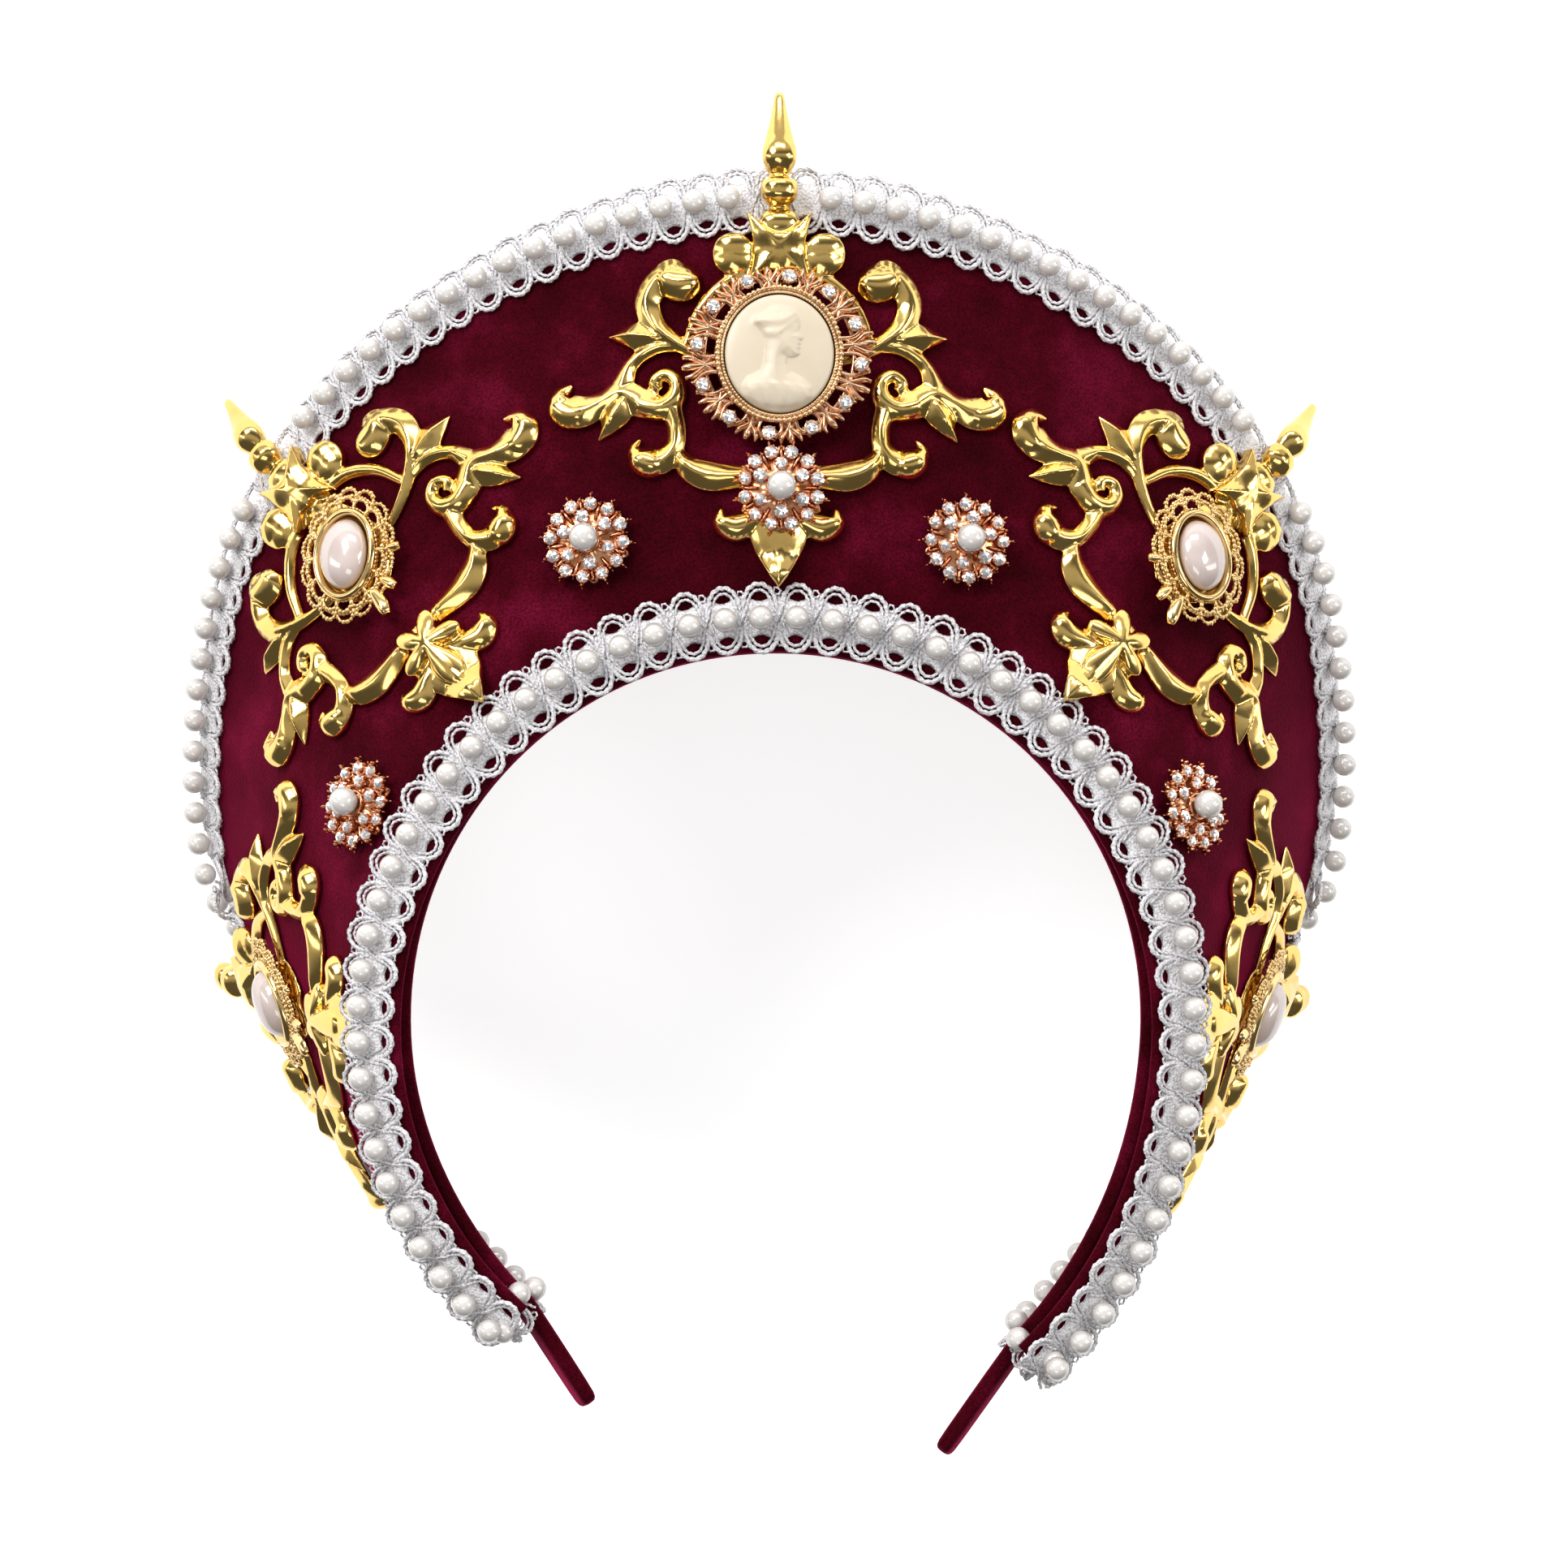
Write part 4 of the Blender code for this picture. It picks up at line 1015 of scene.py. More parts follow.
def lace_trims(band_angles):
    meshes = [lace_run("band_scallops", band_angles, trim_frame, unfolded, lace_motif(BAND_CORD_STEP), 2),
              woven_strip(band_angles, band_pearl_places, trim_frame, unfolded, -PANEL_END, PANEL_END)]
    add_piece("band_trim_corded_lace", joined_meshes("band_lace", meshes), LACE, ("band_trim_lace",))
    motif = lace_motif(RIM_CORD_STEP)
    places = even_angles(rim_pearl_places, -PANEL_END + RIM_TRIM_INSET, PANEL_END - RIM_TRIM_INSET,
                         pitch=PEARL_PITCH)
    turn_at = (EDGE_TURNS_FROM + EDGE_TURNS_TO) / 2
    front = places[np.abs(places) < turn_at]
    meshes = [lace_run("rim_scallops", front, rim_frame, fold_front, motif, 6),
              woven_strip(places, rim_pearl_places, rim_frame, fold_front, -turn_at, turn_at)]
    add_piece("rim_trim_corded_lace", joined_meshes("rim_lace", meshes), LACE, ("rim_trim_lace",))
    meshes = [lace_run("edge_scallops", places[np.abs(places) >= turn_at], rim_frame, fold_edge, motif, 7)]
    for start, end in ((-PANEL_END, -turn_at), (turn_at, PANEL_END)):
        meshes.append(woven_strip(places, rim_pearl_places, rim_frame, fold_edge, start, end))
    add_piece("rim_trim_corded_lace_ends", joined_meshes("edge_lace", meshes), LACE)
    cuffs(motif)


# Scroll ornaments

# strokes of the left half, as x, y and half width along each, the middle of the cabochon at 0, 0
MIDDLE_STROKES = (
    ("spear", "turned", 1.0, ((0, 49.3, 0.4), (0, 48.9, 0.75), (0, 48.2, 0.95), (0, 46.5, 1.2),
                              (0, 43.5, 1.75), (0, 40.5, 2.4), (0, 37.8, 3.0), (0, 36.0, 3.0), (0, 34.4, 2.4),
                              (0, 33.2, 1.7))),
    ("ball", "turned", 1.0, ((0, 33.4, 1.3), (0, 32.2, 2.8), (0, 30.2, 3.2), (0, 28.4, 2.7), (0, 27.4, 1.5))),
    ("knob", "turned", 0.62, ((0, 27.8, 1.2), (0, 26.2, 3.0), (0, 23.8, 3.3), (0, 21.4, 1.9))),
    ("seat", "round", 1.4, ((0, -9.0, 2.6), (0, -6.0, 6.0), (0, 5.0, 6.6), (0, 12.0, 4.4), (0, 16.0, 2.4))),
)
SIDE_STROKES = (
    ("shoulder", "round", 1.8, ((-2.4, 16.4, 1.7), (-9.5, 13.9, 1.5), (-14.4, 8.8, 1.3), (-16.8, 2.6, 1.1))),
    ("upper_scroll", "ridge", 2.6, ((-16.6, 16.6, 0.8), (-19.0, 16.9, 1.7), (-22.3, 14.4, 2.4),
                                    (-24.1, 10.4, 2.5), (-22.8, 6.4, 2.2), (-18.6, 2.8, 1.6),
                                    (-11.0, -0.6, 1.1), (-4.0, -1.6, 1.1))),
    ("upper_bulb", "round", 3.4, ((-14.3, 14.0, 1.6), (-15.8, 13.9, 3.0), (-18.6, 14.0, 3.5),
                                  (-21.2, 14.9, 2.4), (-22.8, 14.6, 0.8))),
    ("side_leaf", "leaf", 2.7, ((-31.6, 4.4, 0.15), (-28.6, 4.4, 1.6), (-25.6, 4.3, 2.7), (-21.4, 3.6, 1.6))),
    ("arch", "ridge", 2.3, ((-17.0, 2.1, 1.0), (-22.6, 2.1, 1.4), (-27.0, -0.9, 1.5), (-28.8, -5.4, 2.3))),
    ("arm", "ridge", 2.7, ((-38.2, -4.3, 0.4), (-40.2, -6.2, 1.9), (-39.6, -8.8, 3.1), (-36.0, -9.3, 3.1),
                           (-32.2, -7.8, 2.1), (-28.8, -6.2, 2.5), (-25.0, -8.2, 2.8), (-21.4, -9.2, 2.2))),
    ("arm_bulb", "round", 2.9, ((-41.4, -6.6, 1.4), (-40.4, -8.6, 2.6), (-37.6, -9.8, 2.8),
                                (-34.6, -9.6, 1.2))),
    ("down_leaf", "leaf", 3.0, ((-33.2, -15.0, 0.15), (-31.2, -12.2, 1.8), (-29.4, -9.6, 2.7),
                                (-27.4, -6.6, 1.5))),
    ("curl", "round", 2.9, ((-25.4, -8.4, 2.2), (-21.4, -9.2, 2.3), (-18.8, -7.2, 2.0), (-18.7, -4.3, 1.6),
                            (-20.8, -2.9, 1.4), (-22.8, -4.6, 1.3), (-21.6, -6.0, 1.1))),
    ("stem", "ridge", 2.5, ((-25.2, -14.8, 0.3), (-26.4, -16.5, 1.3), (-24.8, -18.6, 2.5),
                            (-21.4, -19.0, 2.5), (-19.0, -16.6, 1.9), (-18.6, -12.9, 1.8),
                            (-19.4, -9.6, 2.0))),
    ("stem_bulb", "round", 3.2, ((-26.8, -16.6, 0.8), (-25.4, -18.5, 2.5), (-22.8, -19.6, 2.6),
                                 (-20.4, -19.6, 0.9))),
    ("bottom_arc", "ridge", 2.7, ((-18.6, -17.4, 1.3), (-16.2, -20.4, 2.4), (-13.0, -21.8, 2.8),
                                  (-9.0, -22.0, 2.4), (-4.6, -21.6, 1.9), (0.4, -21.4, 1.8))),
    ("bottom_lobe", "round", 2.9, ((-10.4, -27.8, 0.6), (-10.3, -29.9, 2.0), (-8.2, -31.2, 2.7),
                                   (-4.9, -30.2, 2.3), (0.3, -27.6, 1.8))),
)
# stamped plates: middle, corners of the right half as x and y, how far the sides bow in, and the heights of
# the edge and of the middle
PLATES = (
    ("star", (0.0, 20.0), ((0.0, 22.7), (5.9, 26.6), (5.7, 13.4), (0.0, 15.2)), 0.22, 2.6, 4.2),
    ("disc", (-8.2, 18.9), None, 3.85, 1.5, 3.3),
    ("disc", (8.2, 18.9), None, 3.85, 1.5, 3.3),
    ("bottom_leaf", (0.0, -32.5), ((0.0, -26.5), (3.9, -27.4), (5.6, -30.8), (4.5, -35.4), (0.0, -42.3)),
     -0.05, 1.2, 3.3),
)
# the ivy leaf over the foot of the side ornaments: each lobe's direction, reach and spread
BOSS_MIDDLE = (0.0, -26.0)
BOSS_LOBES = ((-34.0, 6.8, 36.0), (34.0, 6.8, 36.0), (-101.0, 6.9, 32.0), (101.0, 6.9, 32.0),
              (180.0, 10.2, 36.0))


def stroke_mesh(kind, height, rows):
    rows = np.asarray(rows, float)
    length = np.linalg.norm(np.diff(rows[:, :2], axis=0), axis=1).sum()
    rows = smooth_line(rows, max(10, int(length / 0.6)))
    rows[:, 2] = np.maximum(rows[:, 2], 0.12)
    way = unit(np.gradient(rows[:, :2], axis=0))
    share = np.array([-1.0, -1.0, -0.9, -0.72, -0.48, -0.24, 0.0, 0.24, 0.48, 0.72, 0.9, 1.0, 1.0])
    power, wall = {"leaf": (1.05, 0.30), "ridge": (1.35, 0.34), "round": (2.1, 0.30),
                   "turned": (2.0, 0.0)}[kind]
    crown = wall + (1.0 - wall) * (1.0 - np.abs(share) ** power)
    crown[[0, -1]] = 0.0
    sections = []
    for (x, y, w), (dx, dy) in zip(rows, way):
        side = np.array([-dy, dx])
        if kind == "turned":
            q = np.radians(np.arange(20) * 18.0)
            a, b = w * np.cos(q), height * 0.85 * w * (1.0 + np.sin(q))
        else:
            a, b = w * share, min(height, 1.1 * w + 0.4) * crown
        sections.append(np.stack([x + side[0] * a, y + side[1] * a, b], axis=1))
    return loft(sections)


def fan(middle, outline, edge, top):
    """A plate drawn from its outline up to its middle, so that its corners end as ridges."""
    outline = np.asarray(outline, float)
    middle = np.asarray(middle, float)
    rows = []
    for share, height in ((1.0, 0.0), (1.0, edge), (0.93, edge + 0.22 * (top - edge)),
                          (0.7, edge + 0.55 * (top - edge)), (0.45, edge + 0.8 * (top - edge)),
                          (0.2, edge + 0.95 * (top - edge)), (0.03, top)):
        rows.append(np.column_stack([middle + (outline - middle) * share, np.full(len(outline), height)]))
    return loft(rows)


def plate_outline(middle, corners, bow):
    """The closed outline of a plate: a circle, or corners joined by bowed sides."""
    if corners is None:
        q = np.arange(36) * math.pi / 18
        return np.stack([middle[0] + bow * np.sin(q), middle[1] + bow * np.cos(q)], axis=1)
    corners = list(corners) + [(-x, y) for x, y in corners[-2:0:-1]]
    outline = []
    for (x0, y0), (x1, y1) in zip(corners, corners[1:] + corners[:1]):
        for u in np.arange(8) / 8:
            x, y = x0 + (x1 - x0) * u, y0 + (y1 - y0) * u
            pull = bow * 4 * u * (1 - u)
            outline.append((x + (middle[0] - x) * pull, y + (middle[1] - y) * pull))
    return outline


def boss_outline():
    q = np.arange(120) * 3.0
    reach = np.full(120, 2.4)
    for direction, far, spread in BOSS_LOBES:
        away = (q - direction + 180.0) % 360.0 - 180.0
        reach = np.maximum(reach, 2.4 + (far - 2.4) * np.clip(1.0 - np.abs(away / spread) ** 1.7, 0.0, None))
    q = np.radians(q)
    return np.stack([BOSS_MIDDLE[0] + reach * np.sin(q), BOSS_MIDDLE[1] + reach * np.cos(q)], axis=1)


def mirrored(rows):
    return [(-x, y, w) for x, y, w in rows]


def flat_scroll(with_boss, fineness=0.26):
    """The flat ornament, its strokes and plates melted together and eased as in a stamping."""
    parts = [stroke_mesh(kind, height, rows) for _, kind, height, rows in MIDDLE_STROKES]
    for _, kind, height, rows in SIDE_STROKES:
        parts += [stroke_mesh(kind, height, rows), stroke_mesh(kind, height, mirrored(rows))]
    parts += [fan(middle, plate_outline(middle, corners, bow), edge, top)
              for _, middle, corners, bow, edge, top in PLATES]
    if with_boss:
        parts.append(fan(BOSS_MIDDLE, boss_outline(), 3.1, 5.0))
    helper = bpy.data.objects.new("flat_scroll", make_mesh("flat_scroll", *joined(parts)))
    mended(helper.data, 0.0001)
    bpy.context.scene.collection.objects.link(helper)
    melt = helper.modifiers.new("melt", "REMESH")
    melt.mode = "VOXEL"
    melt.voxel_size = fineness
    relax = helper.modifiers.new("relax", "SMOOTH")
    relax.factor = 0.5
    relax.iterations = 2
    lighten = helper.modifiers.new("lighten", "DECIMATE")
    lighten.ratio = 0.24
    bpy.context.view_layer.update()
    graph = bpy.context.evaluated_depsgraph_get()
    made = bpy.data.meshes.new_from_object(helper.evaluated_get(graph), depsgraph=graph)
    bpy.data.objects.remove(helper)
    return made


def scroll_ornaments():
    flat = {False: flat_scroll(False), True: flat_scroll(True)}
    for name, angle, across, turn in SCROLLS:
        mesh = flat[name != "centre"].copy()

        def bent(points):
            points = points * [SCROLL_SCALE, SCROLL_SCALE, 1.0]
            here, normal, a, t = laid_on_cloth(angle, across, turn, points)
            width = width_at(a)
            from_rim = (1.0 - t) * width - RIM_MARGIN - LACE_HALF * 0.75
            from_band = t * width - LACE_HALF + (100.0 if "lower" in name else 0.0)
            over_rim = np.clip((3.6 - from_rim) / 3.0, 0.0, 1.0)
            over_band = np.clip((4.5 - from_band) / 3.5, 0.0, 1.0)
            height = SCROLL_LIFT + points[:, 2] + SCROLL_RISE * (over_rim + 2.0 * over_band)
            return here + normal * height[:, None]

        add_piece("gold_scroll_" + name, mapped(mesh, bent), GOLD, ("scroll_" + name,))


# Settings, cameo and cabochons

CABOCHON_HALF = (5.4, 7.0)
CABOCHON_HEIGHT = 4.2
BEZEL_HALF = (7.3, 9.0)
FILIGREE_HALF = (11.3, 13.2)
FILIGREE_LOBES = 14
CAMEO_HALF = (10.4, 11.4)
CAMEO_BEZEL = (12.3, 12.9)
CAMEO_OUTER = (18.7, 17.2)
CAMEO_UNITS = 12
CAMEO_FIRST = 7.0


def oval_ring(half, height, count, grow=0.0):
    q = np.arange(count) * 2 * math.pi / count
    return np.stack([(half[0] + grow) * np.sin(q), (half[1] + grow) * np.cos(q), np.full(count, height)],
                    axis=1)


def oval_lathe(half, profile, count=56):
    """A ring swept round an oval from a closed profile of outward distance and height."""
    return loft([oval_ring(half, z, count, grow) for grow, z in profile], closed=True)


def dome(half, height, count=48, rows=14):
    """A crowned stone with a turned-in foot."""
    sections = [oval_ring((half[0] * 0.93, half[1] * 0.93), 0.0, count)]
    for share in np.linspace(0.08, 0.985, rows):
        q = share * math.pi / 2
        sections.append(oval_ring((half[0] * math.cos(q) ** 0.75, half[1] * math.cos(q) ** 0.75),
                                  height * math.sin(q), count))
    return loft(sections)


def oval_point(inner, outer, share, degrees, height):
    q = math.radians(degrees)
    half = (inner[0] + (outer[0] - inner[0]) * share, inner[1] + (outer[1] - inner[1]) * share)
    return half[0] * math.sin(q), half[1] * math.cos(q), height


def filigree_lines():
    """Wires of the openwork border: outer scallops, inner scallops and the bars between them."""
    lines = []
    step = 360.0 / FILIGREE_LOBES
    for i in range(FILIGREE_LOBES):
        outer, inner = [], []
        for u in np.linspace(-1.0, 1.0, 9):
            crown = (1.0 - u * u) ** 0.55
            angle = step * (i + u / 2)
            outer.append(oval_point(BEZEL_HALF, FILIGREE_HALF, 0.60 + 0.40 * crown, angle, 0.9 - 0.3 * crown))
            inner.append(oval_point(BEZEL_HALF, FILIGREE_HALF, 0.22 + 0.34 * crown, angle, 1.25))
        lines += [(outer, False), (inner, False)]
        bar = [oval_point(BEZEL_HALF, FILIGREE_HALF, share, step * (i + 0.5), 1.35 - 0.5 * share)
               for share in (-0.1, 0.2, 0.45, 0.66)]
        lines.append((bar, False))
    for share, height in ((0.03, 1.1), (0.62, 0.75)):
        lines.append(([oval_point(BEZEL_HALF, FILIGREE_HALF, share, q, height) for q in np.arange(0, 360, 6)],
                      True))
    return lines


def cabochon_settings():
    dish = mended(make_mesh("dish", *joined([
        oval_lathe(CABOCHON_HALF, ((-0.9, 0.25), (1.6, 0.2), (2.15, 0.8), (2.2, 1.7), (1.85, 2.35),
                                   (1.35, 2.55), (0.9, 2.2), (0.55, 1.3), (0.3, 0.75), (-0.9, 0.6))),
        loft([oval_ring((5.0, 6.6), 0.25, 40), oval_ring((5.0, 6.6), 0.6, 40)])])))
    border = grown(GRANULATED_WIRE, line_mesh("filigree", filigree_lines()), Grain_Radius=0.54,
                   Grain_Spread=0.12, Grain_Pitch=0.86, Wire_Radius=0.30, Finish=FILIGREE_GOLD)
    clasp = mended(make_mesh("clasp", *joined([
        stroke_mesh("round", 1.8, ((6.0, -7.2, 0.9), (7.6, -9.4, 1.5), (9.0, -11.4, 1.5), (9.8, -12.8, 0.8))),
        stroke_mesh("round", 1.6, ((8.2, -5.6, 0.8), (10.2, -6.6, 1.3), (11.8, -7.6, 0.8))),
        stroke_mesh("round", 1.4, ((9.6, 0.2, 0.7), (11.4, 0.4, 1.1), (12.6, 0.5, 0.7)))])))
    mirror = clasp.copy()
    mirror.transform(Matrix.Scale(-1.0, 4, (1.0, 0.0, 0.0)))
    mirror.flip_normals()
    for name, angle, across, _ in SCROLLS[1:]:
        place = setting_place(angle, across, CABOCHON_TURNS[name], SCROLL_LIFT + SEAT_HEIGHT + SEAT_GAP + 0.6)
        mesh = joined_meshes("setting", [dish, clasp if "left" in name else mirror])
        add_piece("cabochon_bezel_" + name, mesh, BEZEL_GOLD, ("cabochon_setting_" + name,),
                  place=place)
        add_piece("cabochon_filigree_" + name, border.copy(), FILIGREE_GOLD, place=place)
        stone = mended(make_mesh("cabochon", *dome(CABOCHON_HALF, CABOCHON_HEIGHT)))
        raised = place @ Matrix.Translation((0.0, 0.0, 0.7 + SEAT_GAP))
        add_piece("pearl_cabochon_" + name, stone, CABOCHON, ("cabochon_" + name,), place=raised)


def cut_stone(radius=1.0):
    """A round rose-cut stone: a girdle and two rows of facets up to a point."""
    q = np.arange(8) * math.pi / 4
    sections = []
    for share, height, shift in ((0.86, 0.0, 0.0), (1.0, 0.2, 0.0), (0.6, 0.62, math.pi / 8),
                                 (0.05, 0.86, 0.0)):
        sections.append(np.stack([radius * share * np.sin(q + shift), radius * share * np.cos(q + shift),
                                  np.full(8, radius * height)], axis=1))
    return mended(make_mesh("cut_stone", *loft(sections)))


def claw(radius, tall):
    """A small pointed claw."""
    q = np.arange(6) * math.pi / 3
    rows = ((1.0, 0.0), (0.85, 0.55), (0.5, 0.9), (0.12, 1.0))
    return loft([np.stack([radius * s * np.sin(q), radius * s * np.cos(q), np.full(6, tall * z)],
                          axis=1) for s, z in rows])


def cup_mesh(radius, claws=4, first=45.0):
    """A stone's small cup with its claws round it."""
    pieces = [oval_lathe((radius, radius), ((-0.35, 0.0), (0.15, 0.0), (0.22, 0.7), (0.02, 0.95),
                                            (-0.25, 0.7)), 14)]
    for i in range(claws):
        q = math.radians(first + 360.0 / claws * i)
        points, faces = claw(0.34, 1.65)
        pieces.append((points + [(radius + 0.12) * math.sin(q), (radius + 0.12) * math.cos(q), 0.1], faces))
    return pieces


def moved(piece, offset):
    return np.asarray(piece[0]) + offset, piece[1]


def turned_flat(rows, degrees):
    """Stroke rows turned clockwise about the middle."""
    q = math.radians(degrees)
    return [(x * math.cos(q) + y * math.sin(q), y * math.cos(q) - x * math.sin(q), w) for x, y, w in rows]


def cameo_setting():
    pieces = [oval_lathe(CAMEO_HALF, ((-1.2, 0.0), (1.75, 0.0), (2.0, 0.9), (1.7, 1.9), (1.0, 2.5),
                                      (0.45, 2.35), (0.3, 0.7), (-1.2, 0.55)))]
    pieces.append(loft([oval_ring((9.4, 10.4), 0.05, 40), oval_ring((9.4, 10.4), 0.5, 40)]))
    stones = []
    step = 360.0 / CAMEO_UNITS
    for i in range(CAMEO_UNITS):
        at = CAMEO_FIRST + step * i
        x, y, _ = oval_point(CAMEO_BEZEL, CAMEO_OUTER, 0.52, at, 0.0)
        stones.append((x, y))
        pieces += [moved(piece, [x, y, 0.9]) for piece in cup_mesh(1.25)]
        for side in (-1.0, 1.0):
            start = oval_point(CAMEO_BEZEL, CAMEO_OUTER, -0.12, at + side * 8.0, 0.0)
            middle = oval_point(CAMEO_BEZEL, CAMEO_OUTER, 0.35, at + side * 8.4, 0.0)
            end = oval_point(CAMEO_BEZEL, CAMEO_OUTER, 0.80, at + side * 2.5, 0.0)
            rows = [(*start[:2], 0.6), (*middle[:2], 0.52), (*end[:2], 0.62)]
            pieces.append(moved(stroke_mesh("round", 1.0, rows), [0, 0, 0.5]))
        at += step / 2
        q = math.radians(at)
        reach = math.hypot(*oval_point(CAMEO_BEZEL, CAMEO_OUTER, 1.0, at, 0.0)[:2])
        root = math.hypot(*oval_point(CAMEO_BEZEL, CAMEO_OUTER, -0.1, at, 0.0)[:2])
        span = reach - root
        for rows, tall in (
            (((0, root, 0.8), (0, root + 0.45 * span, 0.55), (0, root + 0.8 * span, 0.85), (0, reach, 0.45)),
             1.7),
            (((0, root + 0.30 * span, 0.5), (-0.9, root + 0.52 * span, 0.55),
              (-1.7, root + 0.70 * span, 0.68), (-2.0, root + 0.94 * span, 0.36)), 1.35),
            (((0, root + 0.30 * span, 0.5), (0.9, root + 0.52 * span, 0.55), (1.7, root + 0.70 * span, 0.68),
              (2.0, root + 0.94 * span, 0.36)), 1.35),
            (((-1.7, root + 0.12 * span, 0.4), (-0.9, root + 0.22 * span, 0.5), (0, root + 0.42 * span, 0.5)),
             1.1),
            (((1.7, root + 0.12 * span, 0.4), (0.9, root + 0.22 * span, 0.5), (0, root + 0.42 * span, 0.5)),
             1.1),
        ):
            pieces.append(moved(stroke_mesh("round", tall, turned_flat(rows, math.degrees(q))), [0, 0, 0.45]))
    pieces.append(oval_lathe(CAMEO_BEZEL, ((1.6, 0.35), (2.3, 0.35), (2.4, 0.8), (1.9, 1.0), (1.5, 0.8))))
    _, angle, across, turn = SCROLLS[0]
    place = setting_place(angle, across, turn, SCROLL_LIFT + CAMEO_LIFT + SEAT_GAP)
    frame_mesh = mended(make_mesh("cameo_frame", *joined(pieces)))
    add_piece("cameo_frame", frame_mesh, ROSE, ("cameo_setting",), place=place)
    rope = grown(GRANULATED_WIRE, line_mesh("rope", [(oval_ring(CAMEO_HALF, 2.5, 90, 1.35), True)]),
                 Grain_Radius=0.56, Grain_Spread=0.04, Grain_Pitch=1.02, Wire_Radius=0.26,
                 Finish=FILIGREE_GOLD)
    inner = grown(GRANULATED_WIRE, line_mesh("rope", [(oval_ring(CAMEO_HALF, 2.35, 90, 0.45), True)]),
                  Grain_Radius=0.36, Grain_Spread=0.02, Grain_Pitch=0.62, Wire_Radius=0.22,
                  Finish=FILIGREE_GOLD)
    add_piece("cameo_rope_edge", joined_meshes("rope", [rope, inner]), ROSE_BRIGHT, place=place)
    points = [(x, y, 1.45) for x, y in stones]
    mesh = repeated("cameo_stones", cut_stone(1.36), points, [(1, 0, 0)] * len(points),
                    [(0, 0, 1)] * len(points), STONE, Turn_Spread=3.0, Seed=8)
    add_piece("cameo_stones", mesh, STONE, smooth=False, place=place)
    return place


# outline of the bust in profile, as x and y in head heights from the chin, by drawing-book proportions
HEAD_HEIGHT = 9.8
CHIN = (0.4, -0.9)
PROFILE = (
    (0.30, 0.00), (0.36, 0.05), (0.35, 0.13), (0.375, 0.19), (0.355, 0.225), (0.385, 0.26), (0.37, 0.31),
    (0.435, 0.36), (0.34, 0.52), (0.365, 0.60), (0.35, 0.75), (0.30, 0.88), (0.16, 0.99), (-0.06, 1.03),
    (-0.26, 0.97), (-0.40, 0.86), (-0.53, 0.80), (-0.56, 0.66), (-0.46, 0.58), (-0.40, 0.48), (-0.34, 0.36),
    (-0.33, 0.14), (-0.36, -0.12), (-0.42, -0.26), (-0.66, -0.38), (-0.80, -0.56), (-0.78, -0.82),
    (-0.40, -0.98), (0.0, -1.02), (0.40, -0.96), (0.62, -0.80), (0.60, -0.58), (0.42, -0.40), (0.18, -0.27),
    (0.11, -0.14), (0.12, -0.02), (0.20, -0.03),
)


def distance_inside(outline, x, y):
    """Distance to a closed outline, positive inside."""
    outline = np.asarray(outline, float)
    ahead = np.roll(outline, -1, axis=0)
    nearest = np.full(x.shape, 1e9)
    inside = np.zeros(x.shape, bool)
    for (x0, y0), (x1, y1) in zip(outline, ahead):
        dx, dy = x1 - x0, y1 - y0
        u = np.clip(((x - x0) * dx + (y - y0) * dy) / (dx * dx + dy * dy), 0.0, 1.0)
        nearest = np.minimum(nearest, np.hypot(x - x0 - u * dx, y - y0 - u * dy))
        crossing = (y0 > y) != (y1 > y)
        inside ^= crossing & (x < (x1 - x0) * (y - y0) / np.where(y1 == y0, 1e-9, y1 - y0) + x0)
    return np.where(inside, nearest, -nearest)


def bump_at(x, y, middle, half, height, lean=0.0):
    c, s = math.cos(math.radians(lean)), math.sin(math.radians(lean))
    dx, dy = x - middle[0], y - middle[1]
    u, v = (dx * c + dy * s) / half[0], (dy * c - dx * s) / half[1]
    return height * np.exp(-(u * u + v * v))


def bust_relief(x, y):
    """Height of the carved bust over the cameo's ground, in low relief."""
    u = (x - CHIN[0]) / HEAD_HEIGHT
    v = (y - CHIN[1]) / HEAD_HEIGHT
    inside = distance_inside(PROFILE, u, v) * HEAD_HEIGHT
    depth = np.clip(inside + 0.05, 0.0, None)
    relief = 1.25 * (1.0 - np.exp(-depth / 1.5)) * smooth_step(0.0, 0.30, depth)
    edge = smooth_step(0.1, 0.9, inside)
    hair = smooth_step(-0.05, 0.07, v - 0.44 - 0.9 * np.clip(u + 0.02, -0.1, 0.5)) * smooth_step(0.22, 0.34,
                                                                                                 v + 0.1 * u)
    strands = 0.5 + 0.5 * np.sin(30.0 * (0.85 * v - 0.5 * u) + 2.5 * np.sin(6.0 * u + 1.0))
    relief = relief + hair * edge * (0.12 + 0.17 * strands)
    relief = relief + bump_at(u, v, (-0.45, 0.70), (0.13, 0.12), 0.30)
    relief = relief + bump_at(u, v, (0.12, 0.20), (0.15, 0.13), 0.10) - bump_at(u, v, (0.27, 0.46),
                                                                                (0.05, 0.035), 0.10)
    relief = relief + bump_at(u, v, (-0.05, 0.38), (0.035, 0.055), 0.12) - bump_at(u, v, (0.02, 0.02),
                                                                                   (0.10, 0.06), 0.16, 30)
    dress = smooth_step(-0.46, -0.56, v + 0.10 * u)
    folds = 0.5 + 0.5 * np.sin(34.0 * (u * 0.7 + 0.5 * (v + 0.8) ** 2) + 5.0 * v)
    relief = relief + dress * edge * (0.05 + 0.22 * folds)
    return np.maximum(relief, 0.0)


